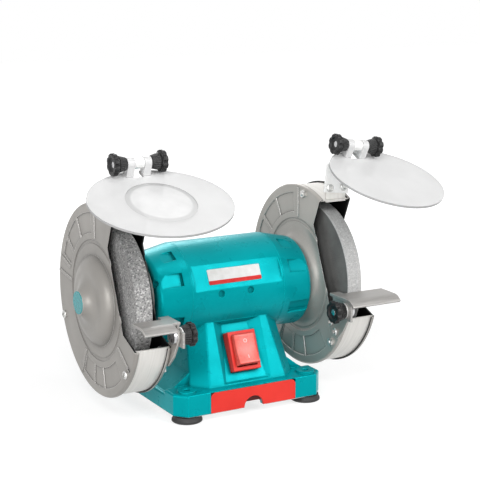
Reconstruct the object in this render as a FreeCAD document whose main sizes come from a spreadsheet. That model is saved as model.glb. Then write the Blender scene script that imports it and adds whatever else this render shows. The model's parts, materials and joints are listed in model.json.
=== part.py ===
import FreeCAD, Part
import math
import os
import re
import Sketcher
from FreeCAD import Placement, Rotation, Vector

# Bench grinder for two 150 mm wheels. Millimetres, +Z up, +X along the shaft to the right,
# front towards -Y. The origin lies on the bench, midway between the four feet.

doc = FreeCAD.newDocument("bench_grinder")
sheet = doc.addObject("Spreadsheet::Sheet", "dims")

# Driving dimensions: name, size and meaning.
DIMENSIONS = [
    ("over", 1, "how far a cutting tool runs past the face it opens"),
    ("shaft_height", 111, "wheel axis above the bench"),
    ("wheel_radius", 75, "150 mm grinding wheel"),
    ("wheel_width", 16, "grinding wheel width"),
    ("wheel_place", 113.8, "wheel mid-plane from the middle of the machine"),
    ("wheel_edge", 0.6, "chamfer along the wheel's rim"),
    ("wheel_seat", 6.35, "shaft radius in the wheel bore"),
    ("journal", 7.5, "shaft radius in the bearings"),
    ("shaft_middle", 9, "shaft radius between the bearings"),
    ("shaft_end", 141, "end of the shaft"),
    ("flange_radius", 24, "wheel flanges"),
    ("flange_rim", 3, "wheel flange at its rim"),
    ("inner_flange_hub", 8, "inner wheel flange at its hub"),
    ("outer_flange_hub", 7, "outer wheel flange at its hub"),
    ("nut_corner", 11, "wheel nut, middle to corner"),
    ("nut_height", 9, "wheel nut"),
    ("guard_radius", 93, "outer radius of the wheel guards"),
    ("guard_sheet", 1.6, "guard sheet"),
    ("rim_depth", 4, "turned rim of guard plate and cover"),
    ("rim_bend", 2.5, "bend radius of the rim"),
    ("plate_plane", 93.4, "motor side of the inner guard plate"),
    ("plate_bore", 14, "hole for the shaft in the inner guard plate"),
    ("cover_plane", 129.7, "outer face of the guard cover"),
    ("hub_plane", 84.2, "motor side of the dished hub of the inner plate"),
    ("hub_radius", 30, "flat hub of the inner plate"),
    ("dish_radius", 52, "foot of the inner plate's dish"),
    ("dome_height", 18, "dome of the guard cover"),
    ("dome_flat", 11.5, "flat top of the dome"),
    ("dome_foot", 44, "foot radius of the dome"),
    ("bead_radius", 56.2, "pressed groove round the dome"),
    ("bead_floor", 1, "half width of that groove at its floor"),
    ("bead_mouth", 2.2, "half width of that groove at its mouth"),
    ("bead_height", 0.8, "depth of the pressed groove, height of the ribs"),
    ("rib_width", 2.4, "radial ribs of the guard sheets"),
    ("pad_inner", 64, "inner radius of the pressed pads"),
    ("pad_outer", 84, "outer radius of the pressed pads"),
    ("pad_depth", 0.8, "depth of the pressed pads"),
    ("opening_tilt", 22.5, "middle of the guard opening above level"),
    ("opening_reach", 49.2, "inner edge of the guard opening"),
    ("opening_half", 41, "half length of that edge"),
    ("opening_far", 110, "end of the cutting outline outside the guard"),
    ("opening_wide", 99.5, "half width of the cutting outline there"),
    ("band_radius", 91.2, "outer radius of the guard band"),
    ("band_sheet", 1.2, "band sheet"),
    ("band_above", 41.7, "start of the band above the middle of the opening"),
    ("band_below", 40.5, "end of the band below the middle of the opening"),
    ("tab_half", 11.5, "half width of the band's screw tab"),
    ("tab_low", 79.5, "foot of the screw tab above the shaft"),
    ("tab_top", 106, "top of the screw tab above the shaft"),
    ("tab_front", 38.3, "front face of the screw tab ahead of the shaft"),
    ("tab_round", 5, "corner radius of the screw tab"),
    ("cover_screw_circle", 86, "circle of the cover screws"),
    ("mount_screw_circle", 24, "circle of the guard mounting screws"),
    ("small_hole", 2.05, "clearance for the guard screws"),
    ("small_shank", 2, "shank of the guard screws"),
    ("small_head", 4, "pan head of the guard screws"),
    ("small_head_height", 2.4, "pan head of the guard screws"),
    ("small_nut", 3, "height of the cover nuts"),
    ("tap_shank", 1.95, "shank of a screw in a tapped hole"),
    ("tap_hole", 2, "tapped hole"),
    ("barrel_radius", 47.5, "motor barrel"),
    ("bore_radius", 43, "bore of the motor barrel"),
    ("barrel_half", 50, "half length of the barrel"),
    ("dimple_radius", 3.6, "round hollows on the barrel"),
    ("dimple_depth", 2.2, "depth of those hollows"),
    ("dimple_rise", 4, "angle of those hollows above level"),
    ("facet_offset", 45.8, "label facet from the shaft axis"),
    ("facet_tilt", 25, "label facet above level"),
    ("facet_half", 47.4, "half length of the label facet"),
    ("label_length", 57, "label plate"),
    ("label_shift", 3, "label plate left of the middle"),
    ("label_height", 15, "label plate"),
    ("label_sheet", 0.4, "label plate"),
    ("badge_sheet", 0.6, "hub badge"),
    ("bell_end", 84, "outer face of the end bells"),
    ("bell_radius", 44.5, "end bell at its outer face"),
    ("bell_drop", 4.5, "drop of the end bell's outer circle"),
    ("bell_round", 5.5, "rounding of the end bell's outer edge"),
    ("bell_mouth", 33, "opening of the end bell towards the motor"),
    ("bell_room", 29, "space round the bearing boss"),
    ("boss_radius", 22, "bearing boss"),
    ("bell_screw_circle", 38.5, "circle of the end bell screws"),
    ("well_floor", 70, "floor of the screw wells in the end bells"),
    ("well_radius", 3.5, "screw wells in the end bells"),
    ("flute_start", 58, "inner end of the flutes in the end bells"),
    ("flute_floor", 43, "floor of those flutes from the shaft"),
    ("flute_width", 13, "flutes in the end bells"),
    ("bell_screw_head", 3.2, "end bell screw"),
    ("bell_screw_height", 4, "head of the end bell screw"),
    ("lug_radius", 6, "screw lugs in the barrel"),
    ("lug_start", 36, "start of the screw lugs"),
    ("bearing_radius", 17.5, "bearing outside"),
    ("bearing_width", 11, "bearing width"),
    ("bearing_start", 65, "inner face of the bearing"),
    ("pitch_radius", 12.5, "circle of the bearing balls"),
    ("ball_radius", 2.8, "bearing ball"),
    ("groove_radius", 3.1, "ball groove"),
    ("ring_gap", 2.3, "edge of a bearing ring from the circle of balls"),
    ("washer_sheet", 0.5, "preload washer"),
    ("stator_half", 22, "half length of the stator stack"),
    ("stator_inside", 24, "bore of the stator core"),
    ("winding_circle", 33, "middle of the end windings"),
    ("winding_radius", 6, "end windings"),
    ("rotor_radius", 23.6, "rotor core"),
    ("base_floor", 7.2, "underside of the casting"),
    ("base_top", 28, "top of the base ledge"),
    ("base_half_width", 80.5, "half width of the base"),
    ("base_half_depth", 75, "half depth of the base"),
    ("base_round", 2, "rounding of the base's upper edges"),
    ("corner_cut_x", 10, "corner chamfer along the front"),
    ("corner_cut_y", 12, "corner chamfer along the side"),
    ("casting_wall", 3, "wall of the casting"),
    ("wide_half", 66, "half length of the low space in the base"),
    ("deep_half", 44, "half length of the space behind the front plate"),
    ("tall_foot_half", 36, "half length of the pedestal's space at its foot"),
    ("tall_foot_depth", 54, "half depth of that space at its foot"),
    ("tall_top_half", 28, "half length of that space at its top"),
    ("tall_top_depth", 30, "half depth of that space at its top"),
    ("foot_x", 65.5, "foot from the middle, sideways"),
    ("foot_y", 62, "foot from the middle, front to back"),
    ("foot_radius", 14.75, "rubber foot on the bench"),
    ("foot_taper", 1.5, "foot narrower at its top"),
    ("foot_height", 6, "rubber foot below the base plate"),
    ("boss_height", 2, "round boss over each foot"),
    ("foot_boss", 9, "round boss over each foot"),
    ("spigot_radius", 6, "spigot of the foot in the casting"),
    ("spigot_height", 4.5, "spigot of the foot in the casting"),
    ("spigot_seat", 6.1, "hole for that spigot"),
    ("bolt_hole", 3.25, "bench bolt hole"),
    ("plate_inset", 2, "bottom plate inside the base's outline"),
    ("plate_gap", 15, "half width of the cut-out in the bottom plate"),
    ("plate_gap_end", 36, "inner end of that cut-out behind the front"),
    ("plate_screw_x", 50, "bottom plate screws, sideways"),
    ("plate_screw_y", 48, "bottom plate screws, front to back"),
    ("plate_screw_head", 3.6, "bottom plate screw"),
    ("plate_screw_height", 2.2, "head of the bottom plate screw"),
    ("gland_height", 16.2, "cable gland above the bench"),
    ("gland_collar", 8, "collar of the cable gland"),
    ("gland_tip", 6.5, "outer end of that collar"),
    ("gland_stem", 5.5, "stem of the gland through the wall"),
    ("gland_nut", 7.5, "nut of the gland inside the wall"),
    ("gland_bore", 3.8, "cable hole of the gland"),
    ("pedestal_foot", 28, "height of the pedestal's foot"),
    ("pedestal_top", 86, "height of the pedestal's top"),
    ("pedestal_round", 2.5, "rounding of the pedestal's upright edges"),
    ("foot_face_half", 41.7, "half width of the pedestal's front face at its foot"),
    ("foot_face_front", 64, "front face ahead of the shaft at its foot"),
    ("foot_side", 56, "side of the pedestal at its foot"),
    ("foot_side_half", 50, "half depth of that side"),
    ("top_face_half", 33, "half width of the front face at its top"),
    ("top_face_front", 40, "front face ahead of the shaft at its top"),
    ("top_side", 48, "side of the pedestal at its top"),
    ("top_side_half", 26, "half depth of that side at its top"),
    ("ledge_height", 23.5, "ledge between the corner blocks"),
    ("ledge_half", 45, "half length of that ledge"),
    ("skirt_foot", 76, "foot of the sloping skirt"),
    ("skirt_crease", 54.6, "top of the skirt"),
    ("skirt_height", 40, "height of the top of the skirt"),
    ("panel_height", 56, "middle of the switch above the bench"),
    ("panel_half", 27, "half width of the switch panel's mouth"),
    ("panel_low", 30, "lower edge of that mouth from the middle of the switch"),
    ("panel_high", 32, "upper edge of that mouth from the middle of the switch"),
    ("panel_slope", 3, "slope of the panel's upper and lower wall"),
    ("panel_foot_half", 22.5, "half width of the panel's floor at its foot"),
    ("panel_foot_depth", 2.5, "depth of the panel's floor at its foot"),
    ("panel_top_half", 14, "half width of the panel's floor at its top"),
    ("panel_top_depth", 7, "depth of the panel's floor at its top"),
    ("switch_width", 30, "switch frame"),
    ("switch_height", 38.4, "switch frame"),
    ("switch_depth", 7, "switch frame behind the pedestal face"),
    ("switch_proud", 4.3, "switch frame ahead of the pedestal face"),
    ("switch_rise", 0.5, "switch frame above the middle of the panel"),
    ("switch_body_end", 22, "inner end of the switch body behind the face"),
    ("switch_border", 2, "switch body inside the outline of its frame"),
    ("rocker_width", 22, "rocker"),
    ("rocker_half", 14.5, "half length of the rocker"),
    ("rocker_end", 10.2, "rocker above its axle, at the ends"),
    ("rocker_middle", 8.4, "rocker above its axle, in the middle"),
    ("rocker_under", 2, "rocker below its axle"),
    ("rocker_gap", 0.4, "gap beside the rocker"),
    ("rocker_tilt", 6, "rocker when the switch is off"),
    ("axle_rise", 0.8, "rocker axle ahead of the pedestal face"),
    ("axle_radius", 1.5, "rocker axle"),
    ("front_plate_half", 46.3, "half width of the front plate"),
    ("front_plate_sheet", 3, "front plate"),
    ("front_plate_round", 5, "upper corners of the front plate"),
    ("plate_clearance", 0.3, "gap round the front plate"),
    ("notch_radius", 10.4, "half-round notch in the front plate"),
    ("notch_lip", 5.2, "lower edge of the web behind the notch, above the base"),
    ("notch_lip_sheet", 1.2, "web behind the notch"),
    ("left_shield_half_width", 67.3, "left eye shield, half of its long axis"),
    ("left_shield_half_height", 54.6, "left eye shield, half of its short axis"),
    ("left_shield_reach", 49.8, "left shield's centre from its pivot, along the shield"),
    ("left_shield_offset", 2.7, "left shield's centre to the right of its bracket"),
    ("left_shield_tilt", 21.8, "left shield's front below level"),
    ("left_bracket_lean", 0, "left bracket leaning to the right"),
    ("right_shield_half_width", 60.3, "right eye shield, half of its long axis"),
    ("right_shield_half_height", 51.8, "right eye shield, half of its short axis"),
    ("right_shield_reach", 40.1, "right shield's centre from its pivot, along the shield"),
    ("right_shield_offset", 18, "right shield's centre to the right of its bracket"),
    ("right_shield_tilt", 23.3, "right shield's front below level"),
    ("right_bracket_lean", 7, "right bracket leaning to the right"),
    ("shield_sheet", 2.2, "eye shield"),
    ("shield_drop", 11, "pivot above the shield's upper face"),
    ("ear_radius", 5.6, "hinge ears of the shield"),
    ("ear_end", 11.6, "outer end of the ears from the middle of the hinge"),
    ("hinge_gap", 0.4, "gap beside each hinge eye"),
    ("lens_radius", 32, "magnifier window"),
    ("lens_crown", 2, "crown of the magnifier above the shield"),
    ("lens_curve", 220, "radius of the magnifier's upper face"),
    ("pivot_front", 65, "shield pivot ahead of the shaft"),
    ("pivot_rise", 139, "shield pivot above the shaft"),
    ("pivot_bolt_half", 24, "half length of the pivot bolt"),
    ("pin_radius", 3, "pivot and clamp bolts"),
    ("pin_hole", 3.05, "running fit on those bolts"),
    ("bracket_half", 14, "half width of the shield bracket"),
    ("bracket_sheet", 1.6, "shield bracket"),
    ("bracket_low", 88.5, "lower edge of the shield bracket above the shaft"),
    ("bracket_tall", 32, "wide part of the shield bracket"),
    ("bracket_round", 6, "upper corners of that part"),
    ("bracket_bend", 5, "outer bend of the bracket's arm"),
    ("bracket_screw_rise", 94, "bracket screws above the shaft"),
    ("bracket_screw_place", 8, "bracket screws from the middle of the bracket"),
    ("bracket_hole", 2.8, "bracket screw holes, wide enough to lean the bracket"),
    ("bracket_shank", 1.7, "shank of the bracket screws"),
    ("arm_half", 4.5, "half width of the bracket's arm"),
    ("arm_rise", 1, "top of that arm above the pivot"),
    ("arm_foot", 20, "foot of that arm above the bracket screws"),
    ("eye_radius", 5.2, "eye at the end of the arm"),
    ("shield_knob_start", 12, "shield knobs from the middle of the hinge"),
    ("shield_knob_length", 14, "shield knob"),
    ("shield_knob_neck", 5.5, "shield knob at its inner end"),
    ("shield_knob_waist", 7.8, "shield knob below its grip"),
    ("shield_knob_grip", 5.2, "length of the shield knob's grip"),
    ("shield_knob_radius", 10.2, "grip of the shield knob"),
    ("rest_top", 4, "top of the tool rest below the shaft"),
    ("rest_sheet", 2.5, "tool rest"),
    ("rest_rear", 78.5, "edge of the tool rest facing the wheel"),
    ("rest_cheek_rear", 70, "rear end of the rest beside the wheel"),
    ("rest_cheek", 10.5, "width of the rest beside the wheel"),
    ("rest_bend", 11, "length of the rest's rolled lip"),
    ("rest_lip", 5.5, "drop of the lip"),
    ("rest_side", 88, "motor side of the tool rests"),
    ("right_rest_end", 143, "outer end of the right rest"),
    ("left_rest_end", 128, "outer end of the left rest"),
    ("right_rest_front", 112, "front of the right rest"),
    ("left_rest_front", 106, "front of the left rest"),
    ("corner_side", 96, "side of the cut-out beside the left clamp knob"),
    ("corner_rear", 95, "rear of that cut-out"),
    ("rest_flange", 89, "motor side of the rest's slotted flange"),
    ("flange_sheet", 2, "that flange"),
    ("flange_front", 106, "front of that flange"),
    ("flange_rear", 74, "rear of that flange"),
    ("flange_drop", 25.5, "lower edge of that flange below the shaft"),
    ("clamp_front", 94.5, "clamp bolt ahead of the shaft"),
    ("clamp_drop", 16.5, "clamp bolt below the shaft"),
    ("clamp_gap", 0.3, "gap between the pieces on the clamp bolt"),
    ("clamp_head", 6.5, "head of the clamp bolt"),
    ("clamp_head_height", 3.4, "head of the clamp bolt"),
    ("clamp_washer", 7.8, "washer under the clamp knob"),
    ("clamp_washer_sheet", 1.2, "washer under the clamp knob"),
    ("slot_in", 2, "slot length for moving the rest to the wheel"),
    ("slot_out", 10, "slot length for moving the rest away"),
    ("slot_half", 3.4, "half width of the clamp slot"),
    ("support_sheet", 2.1, "support bracket of the rest"),
    ("support_end", 7.5, "rounded front end of that bracket"),
    ("support_head", 3.8, "support bracket screw"),
    ("support_shank", 6.5, "support bracket screw below its head"),
    ("rest_knob_length", 12, "clamp knob"),
    ("rest_knob_neck", 8, "clamp knob at the washer"),
    ("rest_knob_waist", 9.6, "clamp knob below its grip"),
    ("rest_knob_grip", 5.5, "length of the clamp knob's grip"),
    ("rest_knob_radius", 11.2, "grip of the clamp knob"),
    ("hollow_radius", 2.7, "finger hollows of the knobs"),
    ("hollow_place", 1, "middle of those hollows outside the grip"),
    ("capacitor_radius", 14.5, "capacitor"),
    ("capacitor_length", 50, "capacitor"),
    ("capacitor_back", 24, "capacitor behind the shaft"),
    ("strap_width", 12, "capacitor clamp"),
    ("strap_sheet", 1.4, "capacitor clamp"),
    ("strap_foot_half", 25, "half length of the clamp's feet"),
    ("terminal_length", 34, "terminal block"),
    ("terminal_depth", 14, "terminal block"),
    ("terminal_height", 6, "foot of the terminal block"),
    ("terminal_front", 24, "front of the terminal block ahead of the shaft"),
    ("terminal_pitch", 6.5, "cells of the terminal block"),
    ("terminal_cell", 6, "one cell of the terminal block"),
]
for line, (alias, size, meaning) in enumerate(DIMENSIONS, start=1):
    sheet.set("A%d" % line, alias)
    sheet.set("B%d" % line, str(size))
    sheet.set("C%d" % line, meaning)
    sheet.setAlias("B%d" % line, alias)
doc.recompute()
ALIASES = {alias for alias, size, meaning in DIMENSIONS}

ALONG_X = Rotation(Vector(0, 1, 0), 90)
ALONG_Y = Rotation(Vector(1, 0, 0), -90)
UPRIGHT = Rotation()
WEDGE_UP = Rotation(Vector(1, 0, 0), 90)
MACHINE = Placement()
nodes = {}


def bound(expression):
    """The expression with every dimension name pointing at its cell."""
    def cell(found):
        return "dims." + found.group(0) if found.group(0) in ALIASES else found.group(0)
    return re.sub(r"[A-Za-z_]+", cell, str(expression))


def number(expression):
    """The present value of an expression over the dimensions."""
    return float(sheet.evalExpression(bound(expression)))


def spot(x, y, z):
    return Vector(number(x), number(y), number(z))


def set_sizes(item, **sizes):
    for name, expression in sizes.items():
        item.setExpression(name, bound(expression))


def place(item, where, turn=UPRIGHT, frame=MACHINE):
    item.Placement = frame.multiply(Placement(spot(*where), turn))
    if frame is MACHINE:
        for letter, expression in zip("xyz", where):
            item.setExpression(".Placement.Base." + letter, bound(expression))


def rod(name, radius, length, where, turn=ALONG_X, frame=MACHINE):
    item = doc.addObject("Part::Cylinder", name)
    set_sizes(item, Radius=radius, Height=length)
    place(item, where, turn, frame)
    return item


def cone(name, first, last, length, where, turn=ALONG_X, frame=MACHINE):
    item = doc.addObject("Part::Cone", name)
    set_sizes(item, Radius1=first, Radius2=last, Height=length)
    place(item, where, turn, frame)
    return item


def block(name, size, where, turn=UPRIGHT, frame=MACHINE):
    item = doc.addObject("Part::Box", name)
    set_sizes(item, Length=size[0], Width=size[1], Height=size[2])
    place(item, where, turn, frame)
    return item


def wedge(name, low, high, where, turn=WEDGE_UP, frame=MACHINE):
    """A tapered block: low and high are (level, half width, near depth, far depth)."""
    item = doc.addObject("Part::Wedge", name)
    set_sizes(item, Ymin=low[0], Xmin="-(%s)" % low[1], Xmax=low[1], Zmin=low[2], Zmax=low[3])
    set_sizes(item, Ymax=high[0], X2min="-(%s)" % high[1], X2max=high[1])
    set_sizes(item, Z2min=high[2], Z2max=high[3])
    place(item, where, turn, frame)
    return item


def cut(name, base, *tools):
    item = doc.addObject("Part::Cut", name)
    item.Base = base
    item.Tool = tools[0] if len(tools) == 1 else fuse(name + "_tools", *tools)
    return item


def fuse(name, *pieces):
    item = doc.addObject("Part::MultiFuse", name)
    item.Shapes = list(pieces)
    return item


def group(name, pieces):
    item = doc.addObject("Part::Compound", name)
    item.Links = list(pieces)
    return item


def mirrored(name, source):
    """The same piece on the other side of the machine."""
    item = doc.addObject("Part::Mirroring", name)
    item.Source = source
    item.Normal = Vector(1, 0, 0)
    return item


def ring(name, corners):
    """A closed loop of straight edges, one end of a loft."""
    item = doc.addObject("Part::Feature", name)
    item.Shape = Part.makePolygon(corners + corners[:1])
    return item


def loft(name, *ends):
    item = doc.addObject("Part::Loft", name)
    item.Sections = list(ends)
    item.Solid = True
    item.Ruled = True
    return item


def rounded(name, base, radius, chosen):
    """Rounds the edges of base that the test called chosen picks."""
    doc.recompute()
    item = doc.addObject("Part::Fillet", name)
    item.Base = base
    size = number(radius)
    edges = enumerate(base.Shape.Edges, start=1)
    item.Edges = [(i, size, size) for i, edge in edges if chosen(edge)]
    return item


def node(name, item):
    item.Label = name
    nodes[name] = item
    return item


def outline(body, plane, corners):
    """A closed sketch through corners (across, up); a third entry is the signed radius of the arc
    that arrives at the corner, positive where it turns left."""
    sketch = body.newObject("Sketcher::SketchObject", body.Name + "_sketch")
    support = [item for item in body.Origin.OriginFeatures if item.Role == plane][0]
    sketch.AttachmentSupport = [(support, "")]
    sketch.MapMode = "FlatFace"
    points = [Vector(number(corner[0]), number(corner[1]), 0) for corner in corners]
    ends = []
    for i, corner in enumerate(corners):
        start, end = points[i - 1], points[i]
        if len(corner) == 2:
            sketch.addGeometry(Part.LineSegment(start, end), False)
            ends.append((1, 2))
            continue
        radius = number(corner[2])
        chord = end - start
        left = Vector(-chord.y, chord.x, 0).normalize()
        rise = math.sqrt(max(radius * radius - chord.Length ** 2 / 4, 0))
        side = 1 if radius > 0 else -1
        centre = (start + end) / 2 + left * rise * side
        first, last = (start, end) if side > 0 else (end, start)
        turn_from = math.atan2(first.y - centre.y, first.x - centre.x)
        turn_to = math.atan2(last.y - centre.y, last.x - centre.x)
        circle = Part.Circle(centre, Vector(0, 0, 1), abs(radius))
        sketch.addGeometry(Part.ArcOfCircle(circle, turn_from, turn_to), False)
        ends.append((1, 2) if side > 0 else (2, 1))
    for i in range(len(corners)):
        following = (i + 1) % len(corners)
        joint = Sketcher.Constraint("Coincident", i, ends[i][1], following, ends[following][0])
        sketch.addConstraint(joint)
    for i, corner in enumerate(corners):
        amounts = (points[i].x, points[i].y)
        for kind, expression, amount in zip(("DistanceX", "DistanceY"), corner, amounts):
            dimension = sketch.addConstraint(Sketcher.Constraint(kind, -1, 1, i, ends[i][1], amount))
            sketch.setExpression("Constraints[%d]" % dimension, bound(expression))
        if len(corner) == 3:
            dimension = sketch.addConstraint(Sketcher.Constraint("Radius", i, abs(number(corner[2]))))
            sketch.setExpression("Constraints[%d]" % dimension, bound("abs(%s)" % corner[2]))
    return sketch


def spun(name, corners, where=("0", "0", "shaft_height")):
    """A body turned about the shaft axis from a profile of (along the shaft, radius)."""
    body = doc.addObject("PartDesign::Body", name)
    sketch = outline(body, "XY_Plane", corners)
    turned = body.newObject("PartDesign::Revolution", name + "_turned")
    turned.Profile = sketch
    turned.ReferenceAxis = (sketch, ["H_Axis"])
    turned.Angle = 360
    place(body, where)
    return body


def padded(name, plane, corners, length, where, turn=UPRIGHT, frame=MACHINE):
    """A body padded from an outline on one of its own planes."""
    body = doc.addObject("PartDesign::Body", name)
    sketch = outline(body, plane, corners)
    pad = body.newObject("PartDesign::Pad", name + "_pad")
    pad.Profile = sketch
    pad.setExpression("Length", bound(length))
    place(body, where, turn, frame)
    return body


def facing(angle):
    """Turns X to the radius at an angle above the front, Y onwards round the shaft, Z to -X."""
    start = Rotation(Vector(0, -1, 0), Vector(0, 0, 1), Vector(-1, 0, 0), "ZXY")
    return Rotation(Vector(-1, 0, 0), angle).multiply(start)


def sector(name, radius, start, end, thickness, face):
    """A slice of a disc about the shaft from one angle above the front to another, behind a plane."""
    item = doc.addObject("Part::Cylinder", name)
    set_sizes(item, Radius=radius, Height=thickness)
    item.Angle = end - start
    place(item, (face, "0", "shaft_height"), facing(start))
    return item


def at_angle(radius, angle):
    """The two coordinates across the shaft of a point at an angle above the front."""
    across = "-(%s) * cos(%g deg)" % (radius, angle)
    up = "shaft_height + (%s) * sin(%g deg)" % (radius, angle)
    return across, up


def screw(name, head, head_height, shank, length, where, turn=ALONG_X, frame=MACHINE):
    """A pan head with its shank running on from it."""
    top = rod(name + "_head", head, head_height, where, turn, frame)
    stem = rod(name + "_shank", shank, "%s + %s" % (head_height, length), where, turn, frame)
    return fuse(name, top, stem)


# Motor housing: barrel, pedestal and base in one casting.
barrel = rod("barrel", "barrel_radius", "2 * barrel_half", ("-barrel_half", "0", "shaft_height"))
facet_turn = Rotation(Vector(1, 0, 0), number("90 - facet_tilt"))
facet_frame = Placement(spot("0", "0", "shaft_height"), facet_turn)
facet = block(
    "facet", ("2 * facet_half", "barrel_radius", "barrel_radius"),
    ("-facet_half", "-barrel_radius / 2", "facet_offset"), UPRIGHT, facet_frame,
)
dimples = []
dimple_turn = Rotation(Vector(1, 0, 0), number("90 - dimple_rise"))
for name, along in (("left_dimple", "-20"), ("right_dimple", "12")):
    dimple_frame = Placement(spot(along, "0", "shaft_height"), dimple_turn)
    floor = ("0", "0", "barrel_radius - dimple_depth")
    dimples.append(rod(name, "dimple_radius", "dimple_depth + over", floor, UPRIGHT, dimple_frame))


def pedestal_ring(name, level):
    """The pedestal's outline at a height, on the straight slopes from its foot to its top."""
    share = "(pedestal_top - (%s)) / (pedestal_top - pedestal_foot)" % level
    half, front, side, depth = (
        number("top_{0} + (foot_{0} - top_{0}) * {1}".format(size, share))
        for size in ("face_half", "face_front", "side", "side_half")
    )
    quarter = [(half, -front), (side, -depth), (side, depth), (half, front)]
    loop = quarter + [(-x, -y) for x, y in quarter]
    return ring(name, [Vector(x, y, number(level)) for x, y in loop])


pedestal_low = pedestal_ring("pedestal_low", "ledge_height - over")
pedestal_high = pedestal_ring("pedestal_high", "pedestal_top")
pedestal_block = loft("pedestal_block", pedestal_low, pedestal_high)
pedestal = rounded(
    "pedestal", pedestal_block, "pedestal_round",
    lambda edge: edge.BoundBox.ZLength > number("pedestal_top - pedestal_foot") / 2,
)


def base_outline(inset):
    """Corners of the base with its corners cut off, moved in by the inset."""
    near_x, far_x = "base_half_width - corner_cut_x - (%s)" % inset, "base_half_width - (%s)" % inset
    near_y, far_y = "base_half_depth - corner_cut_y - (%s)" % inset, "base_half_depth - (%s)" % inset
    quarter = [(near_x, far_y), (far_x, near_y)]
    corners = [(x, "-(%s)" % y) for x, y in quarter]
    corners += [(x, y) for x, y in reversed(quarter)]
    corners += [("-(%s)" % x, y) for x, y in quarter]
    corners += [("-(%s)" % x, "-(%s)" % y) for x, y in reversed(quarter)]
    return corners


base_slab = padded(
    "base_slab", "XY_Plane", base_outline("0"), "base_top - base_floor", ("0", "0", "base_floor"))
ledge_cuts = [
    block(name, ("base_half_width", "2 * ledge_half", "base_top"), (start, "-ledge_half", "ledge_height"))
    for name, start in (
        ("right_ledge_cut", "foot_side"),
        ("left_ledge_cut", "-foot_side - base_half_width"),
    )
]
base_ledged = cut("base_ledged", base_slab, *ledge_cuts)


def upper_outer_edge(edge):
    """Picks the upper edges of the base along its outside."""
    middle, reach = edge.CenterOfMass, edge.BoundBox
    level = reach.ZLength < 0.1 and reach.ZMin > number("ledge_height") - 0.1
    beside = abs(middle.x) > number("foot_side") + 1
    outside = abs(middle.y) > number("ledge_half") + 0.1 or abs(middle.x) > number("base_half_width") - 1.5
    return level and beside and outside


base_block = rounded("base_block", base_ledged, "base_round", upper_outer_edge)
skirt_corners = [
    ("-skirt_foot", "ledge_height - base_round"),
    ("skirt_foot", "ledge_height - base_round"),
    ("skirt_foot", "ledge_height"),
    ("skirt_crease", "skirt_height"),
    ("-skirt_crease", "skirt_height"),
    ("-skirt_foot", "ledge_height"),
]
skirt = padded("skirt", "XZ_Plane", skirt_corners, "2 * ledge_half", ("0", "ledge_half", "0"))
foot_spots = [(side, end) for side in (-1, 1) for end in (-1, 1)]
foot_pads = []
foot_holes = []
foot_seats = []
for i, (side, end) in enumerate(foot_spots):
    across, along = "%d * foot_x" % side, "%d * foot_y" % end
    boss = (across, along, "base_top - boss_height")
    foot_pads.append(rod("foot_pad%d" % i, "foot_boss", "2 * boss_height", boss, UPRIGHT))
    foot_holes.append(rod("foot_hole%d" % i, "bolt_hole", "shaft_height / 2", (across, along, "0"), UPRIGHT))
    seat = (across, along, "base_floor - over")
    foot_depth = "spigot_height - (base_floor - foot_height) + over + 0.5"
    foot_seats.append(rod("foot_seat%d" % i, "spigot_seat", foot_depth, seat, UPRIGHT))
BELL_SCREW_ANGLES = (27, 153, 207, 333)
lugs = []
lug_holes = []
bell_screws = []
for i, angle in enumerate(BELL_SCREW_ANGLES):
    across, up = at_angle("bell_screw_circle", angle)
    for side, name in ((1, "right"), (-1, "left")):
        lug = ("lug_start" if side > 0 else "-barrel_half", across, up)
        lugs.append(rod("%s_lug%d" % (name, i), "lug_radius", "barrel_half - lug_start", lug))
        tap = ("lug_start + 4" if side > 0 else "-barrel_half", across, up)
        lug_holes.append(rod("%s_lug_hole%d" % (name, i), "tap_hole", "barrel_half - lug_start - 4", tap))
        head = ("%d * (well_floor + bell_screw_height)" % side, across, up)
        bell_screws.append(screw(
            "%s_bell_screw%d" % (name, i), "bell_screw_head", "bell_screw_height", "tap_shank",
            "well_floor - lug_start - 5", head, Rotation(Vector(0, 1, 0), -90 * side),
        ))
barrel_bore = rod(
    "barrel_bore", "bore_radius", "2 * barrel_half + 2 * over", ("-barrel_half - over", "0", "shaft_height"))
wide_cavity = block(
    "wide_cavity",
    ("2 * wide_half", "2 * (ledge_half - base_round)", "ledge_height - base_floor - casting_wall"),
    ("-wide_half", "base_round - ledge_half", "base_floor - over"),
)
deep_cavity = block(
    "deep_cavity",
    ("2 * deep_half", "2 * (base_half_depth - 2 * casting_wall)", "base_top - base_floor - casting_wall"),
    ("-deep_half", "2 * casting_wall - base_half_depth", "base_floor - over"),
)
tall_cavity = wedge(
    "tall_cavity",
    ("ledge_height - 2 * casting_wall", "tall_foot_half", "-tall_foot_depth", "tall_foot_depth"),
    ("pedestal_top - 10", "tall_top_half", "-tall_top_depth", "tall_top_depth"),
    ("0", "0", "0"),
)
face_run = number("foot_face_front - top_face_front")
face_lean = math.degrees(math.atan2(face_run, number("pedestal_top - pedestal_foot")))
panel_front = "top_face_front + (pedestal_top - panel_height) * tan(%g deg)" % face_lean
panel_turn = Rotation(Vector(1, 0, 0), 90 - face_lean)
panel_frame = Placement(spot("0", "-(%s)" % panel_front, "panel_height"), panel_turn)


def panel_ring(name, low, high):
    """One end of the switch panel's hollow; low and high are its (half width, edge, depth)."""
    loop = [(-1, low), (1, low), (1, high), (-1, high)]
    corners = [spot("%d * %s" % (side, half), edge, depth) for side, (half, edge, depth) in loop]
    return ring(name, [panel_frame.multVec(corner) for corner in corners])


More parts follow.
